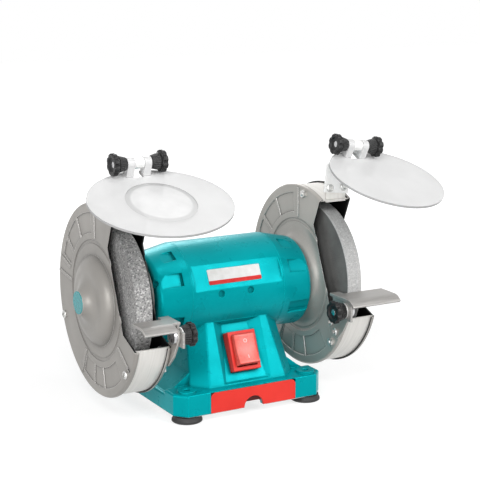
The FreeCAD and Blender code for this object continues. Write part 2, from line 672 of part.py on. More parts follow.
panel_mouth = panel_ring(
    "panel_mouth", ("panel_half", "-panel_low", "over"), ("panel_half", "panel_high", "over"))
panel_floor = panel_ring(
    "panel_floor",
    ("panel_foot_half", "panel_slope - panel_low", "-panel_foot_depth"),
    ("panel_top_half", "panel_high - panel_slope", "-panel_top_depth"),
)
panel = loft("panel", panel_floor, panel_mouth)
switch_seat = block(
    "switch_seat",
    ("switch_width + rocker_gap", "switch_height + rocker_gap", "switch_depth + over"),
    ("-(switch_width + rocker_gap) / 2", "switch_rise - (switch_height + rocker_gap) / 2", "-switch_depth"),
    UPRIGHT, panel_frame,
)
body_half = "(switch_width / 2 - switch_border)"
body_tall = "(switch_height / 2 - switch_border)"
hole_half = "(%s + rocker_gap / 2)" % body_half
hole_tall = "(%s + rocker_gap / 2)" % body_tall
switch_hole = block(
    "switch_hole", ("2 * %s" % hole_half, "2 * %s" % hole_tall, "shaft_height / 3"),
    ("-%s" % hole_half, "switch_rise - %s" % hole_tall, "-shaft_height / 3"), UPRIGHT, panel_frame,
)
plate_recess = block(
    "plate_recess",
    ("2 * (front_plate_half + plate_clearance)", "front_plate_sheet + over", "base_top - base_floor"),
    ("-front_plate_half - plate_clearance", "-base_half_depth - over", "base_floor - plate_clearance"),
)
notch_spot = ("0", "-base_half_depth - over", "base_floor")
notch_hole = rod("notch_hole", "notch_radius", "5 * casting_wall", notch_spot, ALONG_Y)
gland_hole = rod(
    "gland_hole", "gland_stem + 0.1", "5 * casting_wall + over",
    ("0", "base_half_depth - 5 * casting_wall", "gland_height"), ALONG_Y,
)
bell_rooms = [
    rod(name, "barrel_radius + 0.8", "lug_start / 2", (start, "0", "shaft_height"))
    for name, start in (
        ("right_bell_room", "barrel_half"),
        ("left_bell_room", "-barrel_half - lug_start / 2"),
    )
]
plate_screw_spots = [("%d * plate_screw_x" % side, "%d * plate_screw_y" % end) for side, end in foot_spots]
plate_screw_taps = [
    rod("plate_screw_tap%d" % i, "tap_hole", "3 * casting_wall", (*corner, "base_floor - over"), UPRIGHT)
    for i, corner in enumerate(plate_screw_spots)
]
casting = fuse("casting", barrel, pedestal, base_block, skirt, *foot_pads)
hollow = cut(
    "hollow", casting, facet, barrel_bore, wide_cavity, deep_cavity, tall_cavity, panel, switch_seat,
    switch_hole, plate_recess, notch_hole, gland_hole, *dimples, *foot_holes, *foot_seats,
    *bell_rooms, *plate_screw_taps,
)
lugged = cut("lugged", fuse("lugs", *lugs), *lug_holes)
node("motor_housing", fuse("motor_housing", hollow, lugged))
node("bell_screws", group("bell_screws", bell_screws))

# End bells: tapered castings that carry the bearings, with flutes and wells for their screws.
bell_circles = []
for name, radius, drop, along in (
    ("bell_wide", "barrel_radius", "0", "barrel_half"),
    ("bell_narrow", "bell_radius", "bell_drop", "bell_end"),
):
    circle = doc.addObject("Part::Circle", name)
    set_sizes(circle, Radius=radius)
    place(circle, (along, "0", "shaft_height - %s" % drop), ALONG_X)
    bell_circles.append(circle)
bell_cone = loft("bell_cone", *bell_circles)
bell_body = rounded(
    "bell_body", bell_cone, "bell_round", lambda edge: edge.BoundBox.XMin > number("bell_end") - 0.1)
boss_start = ("bearing_start - over", "0", "shaft_height")
bell_tools = [
    rod("bell_mouth", "bell_mouth", "7 + over", ("barrel_half - over", "0", "shaft_height")),
    cut(
        "bell_cavity",
        rod("bell_cavity_form", "bell_room", "22", ("barrel_half + 6", "0", "shaft_height")),
        rod("bearing_boss", "boss_radius", "bell_end - bearing_start", boss_start),
    ),
    rod("bearing_seat", "bearing_radius", "bearing_width + washer_sheet + over", boss_start),
    rod("shaft_passage", "journal + 2", "bell_end - bearing_start + 2 * over", boss_start),
]
for i, angle in enumerate(BELL_SCREW_ANGLES):
    across, up = at_angle("bell_screw_circle", angle)
    well = ("well_floor", across, up)
    bell_tools.append(rod("screw_well%d" % i, "well_radius", "bell_end - well_floor + over", well))
    hole = ("barrel_half - over", across, up)
    bell_tools.append(rod("bell_hole%d" % i, "tap_hole", "well_floor - barrel_half + 2 * over", hole))
FLUTE_ANGLES = (27, 62, 118, 153, 207, 333)
for i, angle in enumerate(FLUTE_ANGLES):
    flute_frame = Placement(spot("flute_start", "0", "shaft_height"), facing(angle))
    bell_tools.append(block(
        "flute%d" % i, ("bell_radius", "flute_width", "bell_end + over - flute_start"),
        ("flute_floor", "-flute_width / 2", "flute_start - bell_end - over"), UPRIGHT, flute_frame,
    ))
MOUNT_ANGLES = (90, 210, 330)
for i, angle in enumerate(MOUNT_ANGLES):
    hole = ("bell_end - 8", *at_angle("mount_screw_circle", angle))
    bell_tools.append(rod("guard_screw_hole%d" % i, "tap_hole", "8 + over", hole))
node("right_end_bell", cut("right_end_bell", bell_body, *bell_tools))
node("left_end_bell", mirrored("left_end_bell", nodes["right_end_bell"]))

# Base: bottom plate with its screws, rubber feet, front plate and cable gland.
plate_corners = base_outline("plate_inset") + [
    ("-plate_gap", "plate_inset - base_half_depth"),
    ("-plate_gap", "plate_gap_end - base_half_depth"),
    ("plate_gap", "plate_gap_end - base_half_depth"),
    ("plate_gap", "plate_inset - base_half_depth"),
]
plate_slab = padded(
    "plate_slab", "XY_Plane", plate_corners, "base_floor - foot_height", ("0", "0", "foot_height"))
plate_holes = []
plate_screws = []
feet = []
for i, (side, end) in enumerate(foot_spots):
    foot = ("%d * foot_x" % side, "%d * foot_y" % end)
    below = (*foot, "foot_height - over")
    plate_holes.append(rod("plate_hole%d" % i, "spigot_seat", "4 * over", below, UPRIGHT))
    corner = plate_screw_spots[i]
    below = (*corner, "foot_height - over")
    plate_holes.append(rod("plate_screw_hole%d" % i, "tap_hole", "4 * over", below, UPRIGHT))
    plate_screws.append(screw(
        "plate_screw%d" % i, "plate_screw_head", "plate_screw_height", "tap_shank", "8",
        (*corner, "foot_height - plate_screw_height"), UPRIGHT,
    ))
    sole = cone("sole%d" % i, "foot_radius", "foot_radius - foot_taper", "foot_height", (*foot, "0"), UPRIGHT)
    spigot = rod("spigot%d" % i, "spigot_radius", "spigot_height", (*foot, "foot_height"), UPRIGHT)
    bore = rod("foot_bore%d" % i, "bolt_hole", "base_top", (*foot, "-over"), UPRIGHT)
    feet.append(cut("foot%d" % i, fuse("foot_form%d" % i, sole, spigot), bore))
node("base_plate", cut("base_plate", plate_slab, *plate_holes))
node("base_plate_screws", group("base_plate_screws", plate_screws))
node("rubber_feet", group("rubber_feet", feet))
plate_top = "base_top - 0.8"
front_corners = [
    ("-front_plate_half", "base_floor"),
    ("front_plate_half", "base_floor"),
    ("front_plate_half", "%s - front_plate_round" % plate_top),
    ("front_plate_half - front_plate_round", plate_top, "front_plate_round"),
    ("front_plate_round - front_plate_half", plate_top),
    ("-front_plate_half", "%s - front_plate_round" % plate_top, "front_plate_round"),
]
front_sheet = "(front_plate_sheet - 0.2)"
front_pad = padded(
    "front_pad", "XZ_Plane", front_corners, front_sheet, ("0", "%s - base_half_depth" % front_sheet, "0"))
notch_depth = "%s - notch_lip_sheet + over" % front_sheet
notch_front = rod("notch_front", "notch_radius", notch_depth, notch_spot, ALONG_Y)
notch_through = doc.addObject("Part::MultiCommon", "notch_through")
notch_through.Shapes = [
    rod("notch_rod", "notch_radius", "2 * front_plate_sheet", notch_spot, ALONG_Y),
    block("notch_low", ("2 * notch_radius", "2 * front_plate_sheet", "notch_lip + over"),
          ("-notch_radius", "-base_half_depth - over", "base_floor - over")),
]
node("front_plate", cut("front_plate", front_pad, notch_front, notch_through))
gland_wall = "base_half_depth - 2 * casting_wall"
gland_form = fuse(
    "gland_form",
    cone("gland_collar", "gland_collar", "gland_tip", "5", ("0", "base_half_depth", "gland_height"), ALONG_Y),
    rod("gland_stem", "gland_stem", "14", ("0", "base_half_depth - 13", "gland_height"), ALONG_Y),
    rod("gland_nut", "gland_nut", "4", ("0", "%s - 4.5" % gland_wall, "gland_height"), ALONG_Y),
)
gland_bore = rod("gland_bore", "gland_bore", "30", ("0", "base_half_depth - 20", "gland_height"), ALONG_Y)
node("cable_gland", cut("cable_gland", gland_form, gland_bore))

# Switch on the sloping panel: frame with its body, and the rocker on its axle.
bezel = block(
    "bezel", ("switch_width", "switch_height", "switch_depth + switch_proud"),
    ("-switch_width / 2", "switch_rise - switch_height / 2", "-switch_depth"), UPRIGHT, panel_frame,
)
switch_body = block(
    "switch_body", ("2 * %s" % body_half, "2 * %s" % body_tall, "switch_body_end - 4"),
    ("-%s" % body_half, "switch_rise - %s" % body_tall, "-switch_body_end"), UPRIGHT, panel_frame,
)
window_half = "(rocker_half + 1)"
window = block(
    "window", ("rocker_width + 2 * rocker_gap", "2 * %s" % window_half, "20"),
    ("-rocker_width / 2 - rocker_gap", "switch_rise - %s" % window_half, "-9"), UPRIGHT, panel_frame,
)
axle_half = "(rocker_width / 2 + 1.3)"
axle_hole = rod(
    "axle_hole", "axle_radius + 0.05", "2 * %s + 0.6" % axle_half,
    ("-%s - 0.3" % axle_half, "switch_rise", "axle_rise"), ALONG_X, panel_frame,
)
bezel_round = rounded("bezel_round", bezel, "1", lambda edge: True)
switch_form = fuse("switch_form", bezel_round, switch_body)
node("switch_frame", cut("switch_frame", switch_form, window, axle_hole))
rocker_turn = Rotation(Vector(1, 0, 0), number("-rocker_tilt"))
rocker_frame = panel_frame.multiply(Placement(spot("0", "switch_rise", "axle_rise"), rocker_turn))
rocker_corners = [
    ("-rocker_half", "-rocker_under"),
    ("rocker_half", "-rocker_under"),
    ("rocker_half", "rocker_end"),
    ("0", "rocker_middle"),
    ("-rocker_half", "rocker_end"),
]
rocker_form = padded(
    "rocker_form", "YZ_Plane", rocker_corners, "rocker_width",
    ("-rocker_width / 2", "0", "0"), UPRIGHT, rocker_frame,
)
axle = rod("axle", "axle_radius", "2 * %s" % axle_half, ("-%s" % axle_half, "0", "0"), ALONG_X, rocker_frame)
node("switch_rocker", fuse("switch_rocker", rocker_form, axle))

# Electrical parts in the pedestal: capacitor under its clamp, and the terminal block.
can_middle = "base_floor + capacitor_radius + 0.1"
can_start = ("-capacitor_length / 2", "capacitor_back", can_middle)
capacitor_can = rod("capacitor_can", "capacitor_radius", "capacitor_length", can_start)
node("capacitor", rounded("capacitor", capacitor_can, "1.5", lambda edge: len(edge.Vertexes) == 1))
strap_radius = "(capacitor_radius + 0.1 + strap_sheet)"
strap_start = "-strap_width / 2"
strap_outer = rod("strap_outer", strap_radius, "strap_width", (strap_start, "capacitor_back", can_middle))
strap_cheeks = block(
    "strap_cheeks", ("strap_width", "2 * %s" % strap_radius, "capacitor_radius + 0.1"),
    (strap_start, "capacitor_back - %s" % strap_radius, "base_floor"),
)
strap_feet = block(
    "strap_feet", ("strap_width", "2 * strap_foot_half", "strap_sheet"),
    (strap_start, "capacitor_back - strap_foot_half", "base_floor"),
)
strap_room = "(capacitor_radius + 0.1)"
inside_start = "-strap_width / 2 - over"
strap_inner = rod(
    "strap_inner", strap_room, "strap_width + 2 * over", (inside_start, "capacitor_back", can_middle))
strap_gap = block(
    "strap_gap", ("strap_width + 2 * over", "2 * %s" % strap_room, "capacitor_radius + 4 * over"),
    (inside_start, "capacitor_back - %s" % strap_room, "base_floor - 4 * over"),
)
strap = fuse("strap", strap_outer, strap_cheeks, strap_feet)
node("capacitor_clamp", cut("capacitor_clamp", strap, strap_inner, strap_gap))
terminal_base = block(
    "terminal_base", ("terminal_length", "terminal_depth", "terminal_height"),
    ("-terminal_length / 2", "-terminal_front", "base_floor"),
)
terminal_cells = []
for i in range(5):
    cell = ("terminal_cell", "terminal_depth - 2 * over", "terminal_height + over")
    start = "%d * terminal_pitch + over - terminal_length / 2" % i
    foot = (start, "over - terminal_front", "base_floor + terminal_height - over")
    terminal_cells.append(block("terminal_cell%d" % i, cell, foot))
node("terminal_block", fuse("terminal_block", terminal_base, *terminal_cells))

# Motor: stator with its end turns, rotor and bearings.
stack_start = ("-stator_half", "0", "shaft_height")
stack_before = ("-stator_half - over", "0", "shaft_height")
stack_through = "2 * stator_half + 2 * over"
stator_ring = rod("stator_ring", "bore_radius - 0.02", "2 * stator_half", stack_start)
stator_hole = rod("stator_hole", "stator_inside", stack_through, stack_before)
node("stator_core", cut("stator_core", stator_ring, stator_hole))
turns = []
for name, side in (("left", -1), ("right", 1)):
    coil = doc.addObject("Part::Torus", name + "_end_turns")
    set_sizes(coil, Radius1="winding_circle", Radius2="winding_radius")
    place(coil, ("%d * (stator_half + winding_radius + 0.1)" % side, "0", "shaft_height"), ALONG_X)
    turns.append(coil)
node("stator_windings", group("stator_windings", turns))
bearing_mid = "bearing_start + bearing_width / 2"
bearing_end = "bearing_start + bearing_width"
half_chord = "sqrt(groove_radius ^ 2 - ring_gap ^ 2)"
outer_ring = spun("right_outer_ring", [
    ("bearing_start", "pitch_radius + ring_gap"),
    ("%s - %s" % (bearing_mid, half_chord), "pitch_radius + ring_gap"),
    ("%s + %s" % (bearing_mid, half_chord), "pitch_radius + ring_gap", "-groove_radius"),
    (bearing_end, "pitch_radius + ring_gap"),
    (bearing_end, "bearing_radius"),
    ("bearing_start", "bearing_radius"),
])
inner_ring = spun("right_inner_ring", [
    ("bearing_start", "journal"),
    (bearing_end, "journal"),
    (bearing_end, "pitch_radius - ring_gap"),
    ("%s + %s" % (bearing_mid, half_chord), "pitch_radius - ring_gap"),
    ("%s - %s" % (bearing_mid, half_chord), "pitch_radius - ring_gap", "-groove_radius"),
    ("bearing_start", "pitch_radius - ring_gap"),
])


def both_sides(name, right_piece):
    """A node that holds a piece and its mirror image."""
    return node(name, group(name, [right_piece, mirrored("left_of_" + name, right_piece)]))


both_sides("bearing_outer_rings", outer_ring)
both_sides("bearing_inner_rings", inner_ring)
balls = []
for i in range(8):
    ball = doc.addObject("Part::Sphere", "ball%d" % i)
    set_sizes(ball, Radius="ball_radius")
    place(ball, (bearing_mid, *at_angle("pitch_radius", 45 * i)))
    balls.append(ball)
node("right_bearing_balls", group("right_bearing_balls", balls))
node("left_bearing_balls", mirrored("left_bearing_balls", nodes["right_bearing_balls"]))
washer_start = (bearing_end, "0", "shaft_height")
washer_disc = rod("washer_disc", "bearing_radius - 0.4", "washer_sheet", washer_start)
washer_hole = rod("washer_hole", "bearing_radius - 3", "washer_sheet + over", washer_start)
node("preload_washer", cut("preload_washer", washer_disc, washer_hole))
rotor_disc = rod("rotor_disc", "rotor_radius", "2 * stator_half", stack_start)
rotor_hole = rod("rotor_hole", "shaft_middle", stack_through, stack_before)
node("rotor_core", cut("rotor_core", rotor_disc, rotor_hole))
inner_face = "wheel_place - wheel_width / 2"
outer_face = "wheel_place + wheel_width / 2"
right_half_shaft = [
    ("bearing_start", "shaft_middle"),
    ("bearing_start", "journal"),
    ("%s - inner_flange_hub" % inner_face, "journal"),
    ("%s - inner_flange_hub" % inner_face, "wheel_seat"),
    ("shaft_end - over", "wheel_seat"),
    ("shaft_end", "wheel_seat - over"),
]
left_half_shaft = [("-(%s)" % along, radius) for along, radius in reversed(right_half_shaft)]
shaft_profile = right_half_shaft + [("shaft_end", "0"), ("-shaft_end", "0")] + left_half_shaft
node("shaft", spun("shaft", shaft_profile))

# Wheels between their flanges, held by a nut on each end of the shaft.
right_wheel = spun("right_wheel", [
    (inner_face, "wheel_seat"),
    (outer_face, "wheel_seat"),
    (outer_face, "wheel_radius - wheel_edge"),
    ("%s - wheel_edge" % outer_face, "wheel_radius"),
    ("%s + wheel_edge" % inner_face, "wheel_radius"),
    (inner_face, "wheel_radius - wheel_edge"),
])
node("right_wheel", right_wheel)
node("left_wheel", mirrored("left_wheel", right_wheel))
inner_flange = spun("right_inner_flange", [
    ("%s - inner_flange_hub" % inner_face, "wheel_seat"),
    (inner_face, "wheel_seat"),
    (inner_face, "flange_radius"),
    ("%s - flange_rim" % inner_face, "flange_radius"),
    ("%s - inner_flange_hub" % inner_face, "flange_radius / 2"),
])
outer_flange = spun("right_outer_flange", [
    (outer_face, "wheel_seat"),
    ("%s + outer_flange_hub" % outer_face, "wheel_seat"),
    ("%s + outer_flange_hub" % outer_face, "flange_radius / 2"),
    ("%s + flange_rim" % outer_face, "flange_radius"),
    (outer_face, "flange_radius"),
])
both_sides("inner_flanges", inner_flange)
both_sides("outer_flanges", outer_flange)
nut_start = "%s + outer_flange_hub" % outer_face
nut_prism = doc.addObject("Part::Prism", "nut_prism")
nut_prism.Polygon = 6
set_sizes(nut_prism, Circumradius="nut_corner", Height="nut_height")
place(nut_prism, (nut_start, "0", "shaft_height"), ALONG_X)
nut_before = ("%s - over" % nut_start, "0", "shaft_height")
nut_bore = rod("nut_bore", "wheel_seat", "nut_height + 2 * over", nut_before)
both_sides("wheel_nuts", cut("right_nut", nut_prism, nut_bore))

# Wheel guards: dished inner plate, sheet band with a screw tab, and domed outer cover.
opening = padded(
    "opening", "YZ_Plane",
    [
        ("-opening_reach", "-opening_half"),
        ("-opening_far", "-opening_wide"),
        ("-opening_far", "opening_wide"),
        ("-opening_reach", "opening_half"),
    ],
    "80", ("80", "0", "shaft_height"), Rotation(Vector(1, 0, 0), -number("opening_tilt")),
)


def bead(face, out):
    """Corners of the groove pressed into a guard face that looks out to one side."""
    pressed_in = "%s - %d * bead_height" % (face, out)
    return [
        (face, "bead_radius - bead_mouth"),
        (pressed_in, "bead_radius - bead_floor"),
        (pressed_in, "bead_radius + bead_floor"),
        (face, "bead_radius + bead_mouth"),
    ]


def pressed(name, plain, face, out, pads, ribs):
    """A guard sheet with its pressed pads and radial ribs on the face that looks outwards."""
    high = "%s + 0.2" % face if out > 0 else "%s + pad_depth" % face
    slices = [sector("%s_pad%d" % (name, i), "pad_outer", start, end, "pad_depth + 0.2", high)
              for i, (start, end) in enumerate(pads)]
    middle = rod(name + "_middle", "pad_inner", "6", ("%s - 3" % face, "0", "shaft_height"))
    recess = cut(name + "_recess", fuse(name + "_slices", *slices), middle)
    strips = []
    for i, (angle, start, end) in enumerate(ribs):
        frame = Placement(spot(face, "0", "shaft_height"), facing(angle))
        low = "-bead_height" if out > 0 else "-0.3"
        strips.append(block("%s_rib%d" % (name, i), (end - start, "rib_width", "bead_height + 0.3"),
                            (start, "-rib_width / 2", low), UPRIGHT, frame))
    return fuse(name + "_ribbed", cut(name + "_pressed", plain, recess), *strips)


def dish_radius_of(run, rise):
    """Radius of the two equal arcs of an S-shaped step."""
    return "((%s) ^ 2 + (%s) ^ 2) / (4 * (%s))" % (run, rise, rise)


dish = dish_radius_of("dish_radius - hub_radius", "plate_plane - hub_plane")
dish_mid = ("(hub_plane + plate_plane) / 2", "(hub_radius + dish_radius) / 2")
plate_sheet_form = spun("plate_sheet_form", [
    ("hub_plane", "plate_bore"),
    ("hub_plane + guard_sheet", "plate_bore"),
    ("hub_plane + guard_sheet", "hub_radius"),
    ("%s + guard_sheet" % dish_mid[0], dish_mid[1], "-(%s)" % dish),
    ("plate_plane + guard_sheet", "dish_radius", dish),
    ("plate_plane + guard_sheet", "guard_radius - guard_sheet"),
    ("plate_plane + rim_depth", "guard_radius - guard_sheet"),
    ("plate_plane + rim_depth", "guard_radius"),
    ("plate_plane + rim_bend", "guard_radius"),
    ("plate_plane", "guard_radius - rim_bend", "rim_bend"),
    *reversed(bead("plate_plane", -1)),
    ("plate_plane", "dish_radius"),
    (dish_mid[0], dish_mid[1], "-(%s)" % dish),
    ("hub_plane", "hub_radius", dish),
])
guard_pads = [(96, 121), (123, 144), (147, 159), (-113, -97), (-95, -80), (-78, -48)]
guard_ribs = [(90, 60, 90), (162, 65, 88), (172, 60, 90), (-115.5, 60, 90), (-34, 60, 90)]
plate_pressed = pressed("plate", plate_sheet_form, "plate_plane", -1, guard_pads, guard_ribs[:-1])
COVER_SCREW_ANGLES = (-40, 82, 202)
FROM_OUTSIDE = Rotation(Vector(0, 1, 0), -90)
plate_tools = [opening]
cover_tools = [opening]
cover_screws = []
cover_nuts = []
for i, angle in enumerate(COVER_SCREW_ANGLES):
    across, up = at_angle("cover_screw_circle", angle)
    plate_tools.append(rod("plate_cover_hole%d" % i, "small_hole", "12", ("plate_plane - 6", across, up)))
    cover_tools.append(rod("cover_hole%d" % i, "small_hole", "12", ("cover_plane - 6", across, up)))
    cover_screws.append(screw(
        "cover_screw%d" % i, "small_head", "small_head_height", "small_shank",
        "cover_plane - plate_plane + small_nut + over",
        ("cover_plane + small_head_height", across, up), FROM_OUTSIDE,
    ))
    nut_form = doc.addObject("Part::Prism", "cover_nut_form%d" % i)
    nut_form.Polygon = 6
    set_sizes(nut_form, Circumradius="small_head", Height="small_nut")
    place(nut_form, ("plate_plane - small_nut", across, up), ALONG_X)
    through = ("plate_plane - small_nut - over", across, up)
    hole = rod("cover_nut_hole%d" % i, "small_shank", "small_nut + 2 * over", through)
    cover_nuts.append(cut("cover_nut%d" % i, nut_form, hole))
mount_screws = []
for i, angle in enumerate(MOUNT_ANGLES):
    across, up = at_angle("mount_screw_circle", angle)
    plate_tools.append(rod("plate_mount_hole%d" % i, "small_hole", "6", ("hub_plane - 2", across, up)))
    mount_screws.append(screw(
        "mount_screw%d" % i, "small_head", "small_head_height", "tap_shank", "8.5",
        ("hub_plane + guard_sheet + small_head_height", across, up), FROM_OUTSIDE,
    ))
rest_screw_spots = (("-68", "shaft_height - 34"), ("-76", "shaft_height - 42"))
for i, (across, up) in enumerate(rest_screw_spots):
    plate_tools.append(rod("plate_rest_hole%d" % i, "small_hole", "12", ("plate_plane - 6", across, up)))
node("right_inner_guard", cut("right_inner_guard", plate_pressed, *plate_tools))
node("left_inner_guard", mirrored("left_inner_guard", nodes["right_inner_guard"]))
dome = dish_radius_of("dome_foot - dome_flat", "dome_height")
dome_mid = ("cover_plane + dome_height / 2", "(dome_flat + dome_foot) / 2")
cover_sheet_form = spun("cover_sheet_form", [
    ("cover_plane + dome_height - guard_sheet", "0"),
    ("cover_plane + dome_height", "0"),
    ("cover_plane + dome_height", "dome_flat"),
    (dome_mid[0], dome_mid[1], "-(%s)" % dome),
    ("cover_plane", "dome_foot", dome),
    *bead("cover_plane", 1),
    ("cover_plane", "guard_radius - rim_bend"),
    ("cover_plane - rim_bend", "guard_radius", "rim_bend"),
    ("cover_plane - rim_depth", "guard_radius"),
    ("cover_plane - rim_depth", "guard_radius - guard_sheet"),
    ("cover_plane - guard_sheet", "guard_radius - guard_sheet"),
    ("cover_plane - guard_sheet", "dome_foot"),
    ("%s - guard_sheet" % dome_mid[0], dome_mid[1], "-(%s)" % dome),
    ("cover_plane + dome_height - guard_sheet", "dome_flat", dome),
])
cover_pressed = pressed("cover", cover_sheet_form, "cover_plane", 1, guard_pads, guard_ribs)
node("right_outer_cover", cut("right_outer_cover", cover_pressed, *cover_tools))
node("left_outer_cover", mirrored("left_outer_cover", nodes["right_outer_cover"]))
band_from = number("opening_tilt + band_above")
band_to = number("360 + opening_tilt - band_below")
band_face = "cover_plane - guard_sheet - 0.1"
band_length = "cover_plane - plate_plane - 2 * guard_sheet - 0.2"
band_disc = sector("band_disc", "band_radius", band_from, band_to, band_length, band_face)
band_hole = rod("band_hole", "band_radius - band_sheet", "60", ("plate_plane - 6", "0", "shaft_height"))
tab = block(
    "tab", ("2 * tab_half", "band_sheet", "tab_top - tab_low"),
    ("wheel_place - tab_half", "-tab_front", "shaft_height + tab_low"),
)


def tab_corner(edge):
    """Picks the two upper corners of the screw tab."""
    reach = edge.BoundBox
    return reach.YLength > 1 and reach.ZMin > number("shaft_height + tab_top") - 0.1


tab_rounded = rounded("tab_rounded", tab, "tab_round", tab_corner)
bracket_screw_height = "shaft_height + bracket_screw_rise"
tab_holes = []
for i, side in enumerate((-1, 1)):
    along = "wheel_place + %d * bracket_screw_place" % side
    before = (along, "-tab_front - 3", bracket_screw_height)
    tab_holes.append(rod("tab_hole%d" % i, "small_hole", "8", before, ALONG_Y))
band_form = fuse("band_form", cut("band_ring", band_disc, band_hole), tab_rounded)
node("right_guard_band", cut("right_guard_band", band_form, *tab_holes))
node("left_guard_band", mirrored("left_guard_band", nodes["right_guard_band"]))
both_sides("cover_screws", group("right_cover_screws", cover_screws))
both_sides("cover_nuts", group("right_cover_nuts", cover_nuts))
both_sides("guard_mount_screws", group("right_mount_screws", mount_screws))

# Badge on each dome and the blank label on the barrel's facet.
dome_top = ("cover_plane + dome_height", "0", "shaft_height")
both_sides("hub_badges", rod("right_badge", "dome_flat - 0.5", "badge_sheet", dome_top))
label_form = block(
    "label_form", ("label_length", "label_height", "label_sheet"),
    ("-label_length / 2 - label_shift", "-label_height / 2", "facet_offset"), UPRIGHT, facet_frame,
)
label = rounded("label_plate", label_form, "1", lambda edge: edge.Length < number("label_sheet") + 0.1)
node("label_plate", label)

# Eye shields on their brackets. Each bracket leans as it was screwed on, and the shield tilts
# about a bolt through the eye of the bracket's arm, clamped by a knob at each end.
bracket_screws = []
pivot_bolts = []


def fluted(name, neck, waist, rim, grip, length, where, turn, frame=MACHINE):
    """A knob on its neck: a taper up to the waist, then a grip with finger hollows round it."""
    seat = frame.multiply(Placement(spot(*where), turn))
    taper_length = "(%s - %s)" % (length, grip)
    taper = cone(name + "_taper", neck, waist, taper_length, ("0", "0", "0"), UPRIGHT, seat)
    head = rod(name + "_grip", rim, grip, ("0", "0", taper_length), UPRIGHT, seat)
    through = "%s + 2 * over" % length
    hollows = []
    count = 8
    for i in range(count):
        across = "(%s + hollow_place) * cos(%g deg)" % (rim, 360 / count * i)
        up = "(%s + hollow_place) * sin(%g deg)" % (rim, 360 / count * i)
        before = (across, up, "-over")
        hollows.append(rod("%s_hollow%d" % (name, i), "hollow_radius", through, before, UPRIGHT, seat))
    hole = rod(name + "_hole", "pin_hole", through, ("0", "0", "-over"), UPRIGHT, seat)
    return cut(name, fuse(name + "_form", taper, head), fuse(name + "_hollows", *hollows), hole)


def shield_bracket(side, level, stand, pivot):
    """The bracket that carries one shield, with the two screws that hold it to the guard band."""
    sheet_back = "-bracket_sheet"
    wide = block(
        side + "_bracket_wide", ("2 * bracket_half", "bracket_sheet", "bracket_tall"),
        ("-bracket_half", sheet_back, "bracket_low - bracket_screw_rise"), UPRIGHT, stand,
    )
    wide_round = rounded(
        side + "_bracket_round", wide, "bracket_round",
        lambda edge: edge.Length < 2 and edge.BoundBox.ZMin > level.Base.z,
    )
    arm_top = "%s + arm_rise" % pivot[2]
    arm_profile = [
        (sheet_back, "arm_foot"),
        ("0", "arm_foot"),
        ("0", "%s - bracket_bend" % arm_top),
        ("-bracket_bend", arm_top, "bracket_bend"),
        (pivot[1], arm_top),
        (pivot[1], "%s - bracket_sheet" % arm_top),
        ("-bracket_bend", "%s - bracket_sheet" % arm_top),
        (sheet_back, "%s - bracket_bend" % arm_top, "bracket_sheet - bracket_bend"),
    ]
    arm = padded(
        side + "_bracket_arm", "YZ_Plane", arm_profile, "2 * arm_half",
        ("-arm_half", "0", "0"), UPRIGHT, stand,
    )
    eye = rod(side + "_bracket_eye", "eye_radius", "2 * arm_half", ("-arm_half", *pivot[1:]), ALONG_X, stand)
    through = ("-arm_half - over", *pivot[1:])
    holes = [rod(side + "_eye_hole", "pin_hole", "2 * arm_half + 2 * over", through, ALONG_X, stand)]
    for i, across in enumerate(("-bracket_screw_place", "bracket_screw_place")):
        holes.append(rod(
            "%s_bracket_hole%d" % (side, i), "bracket_hole", "8 * bracket_sheet",
            (across, "-4 * bracket_sheet", "0"), ALONG_Y, stand,
        ))
        head = (across, "-bracket_sheet - small_head_height", "0")
        bracket_screws.append(screw(
            "%s_bracket_screw%d" % (side, i), "small_head", "small_head_height", "bracket_shank", "6",
            head, ALONG_Y, level,
        ))
    form = fuse(side + "_bracket_form", wide_round, arm, eye)
    node(side + "_shield_bracket", cut(side + "_shield_bracket", form, *holes))


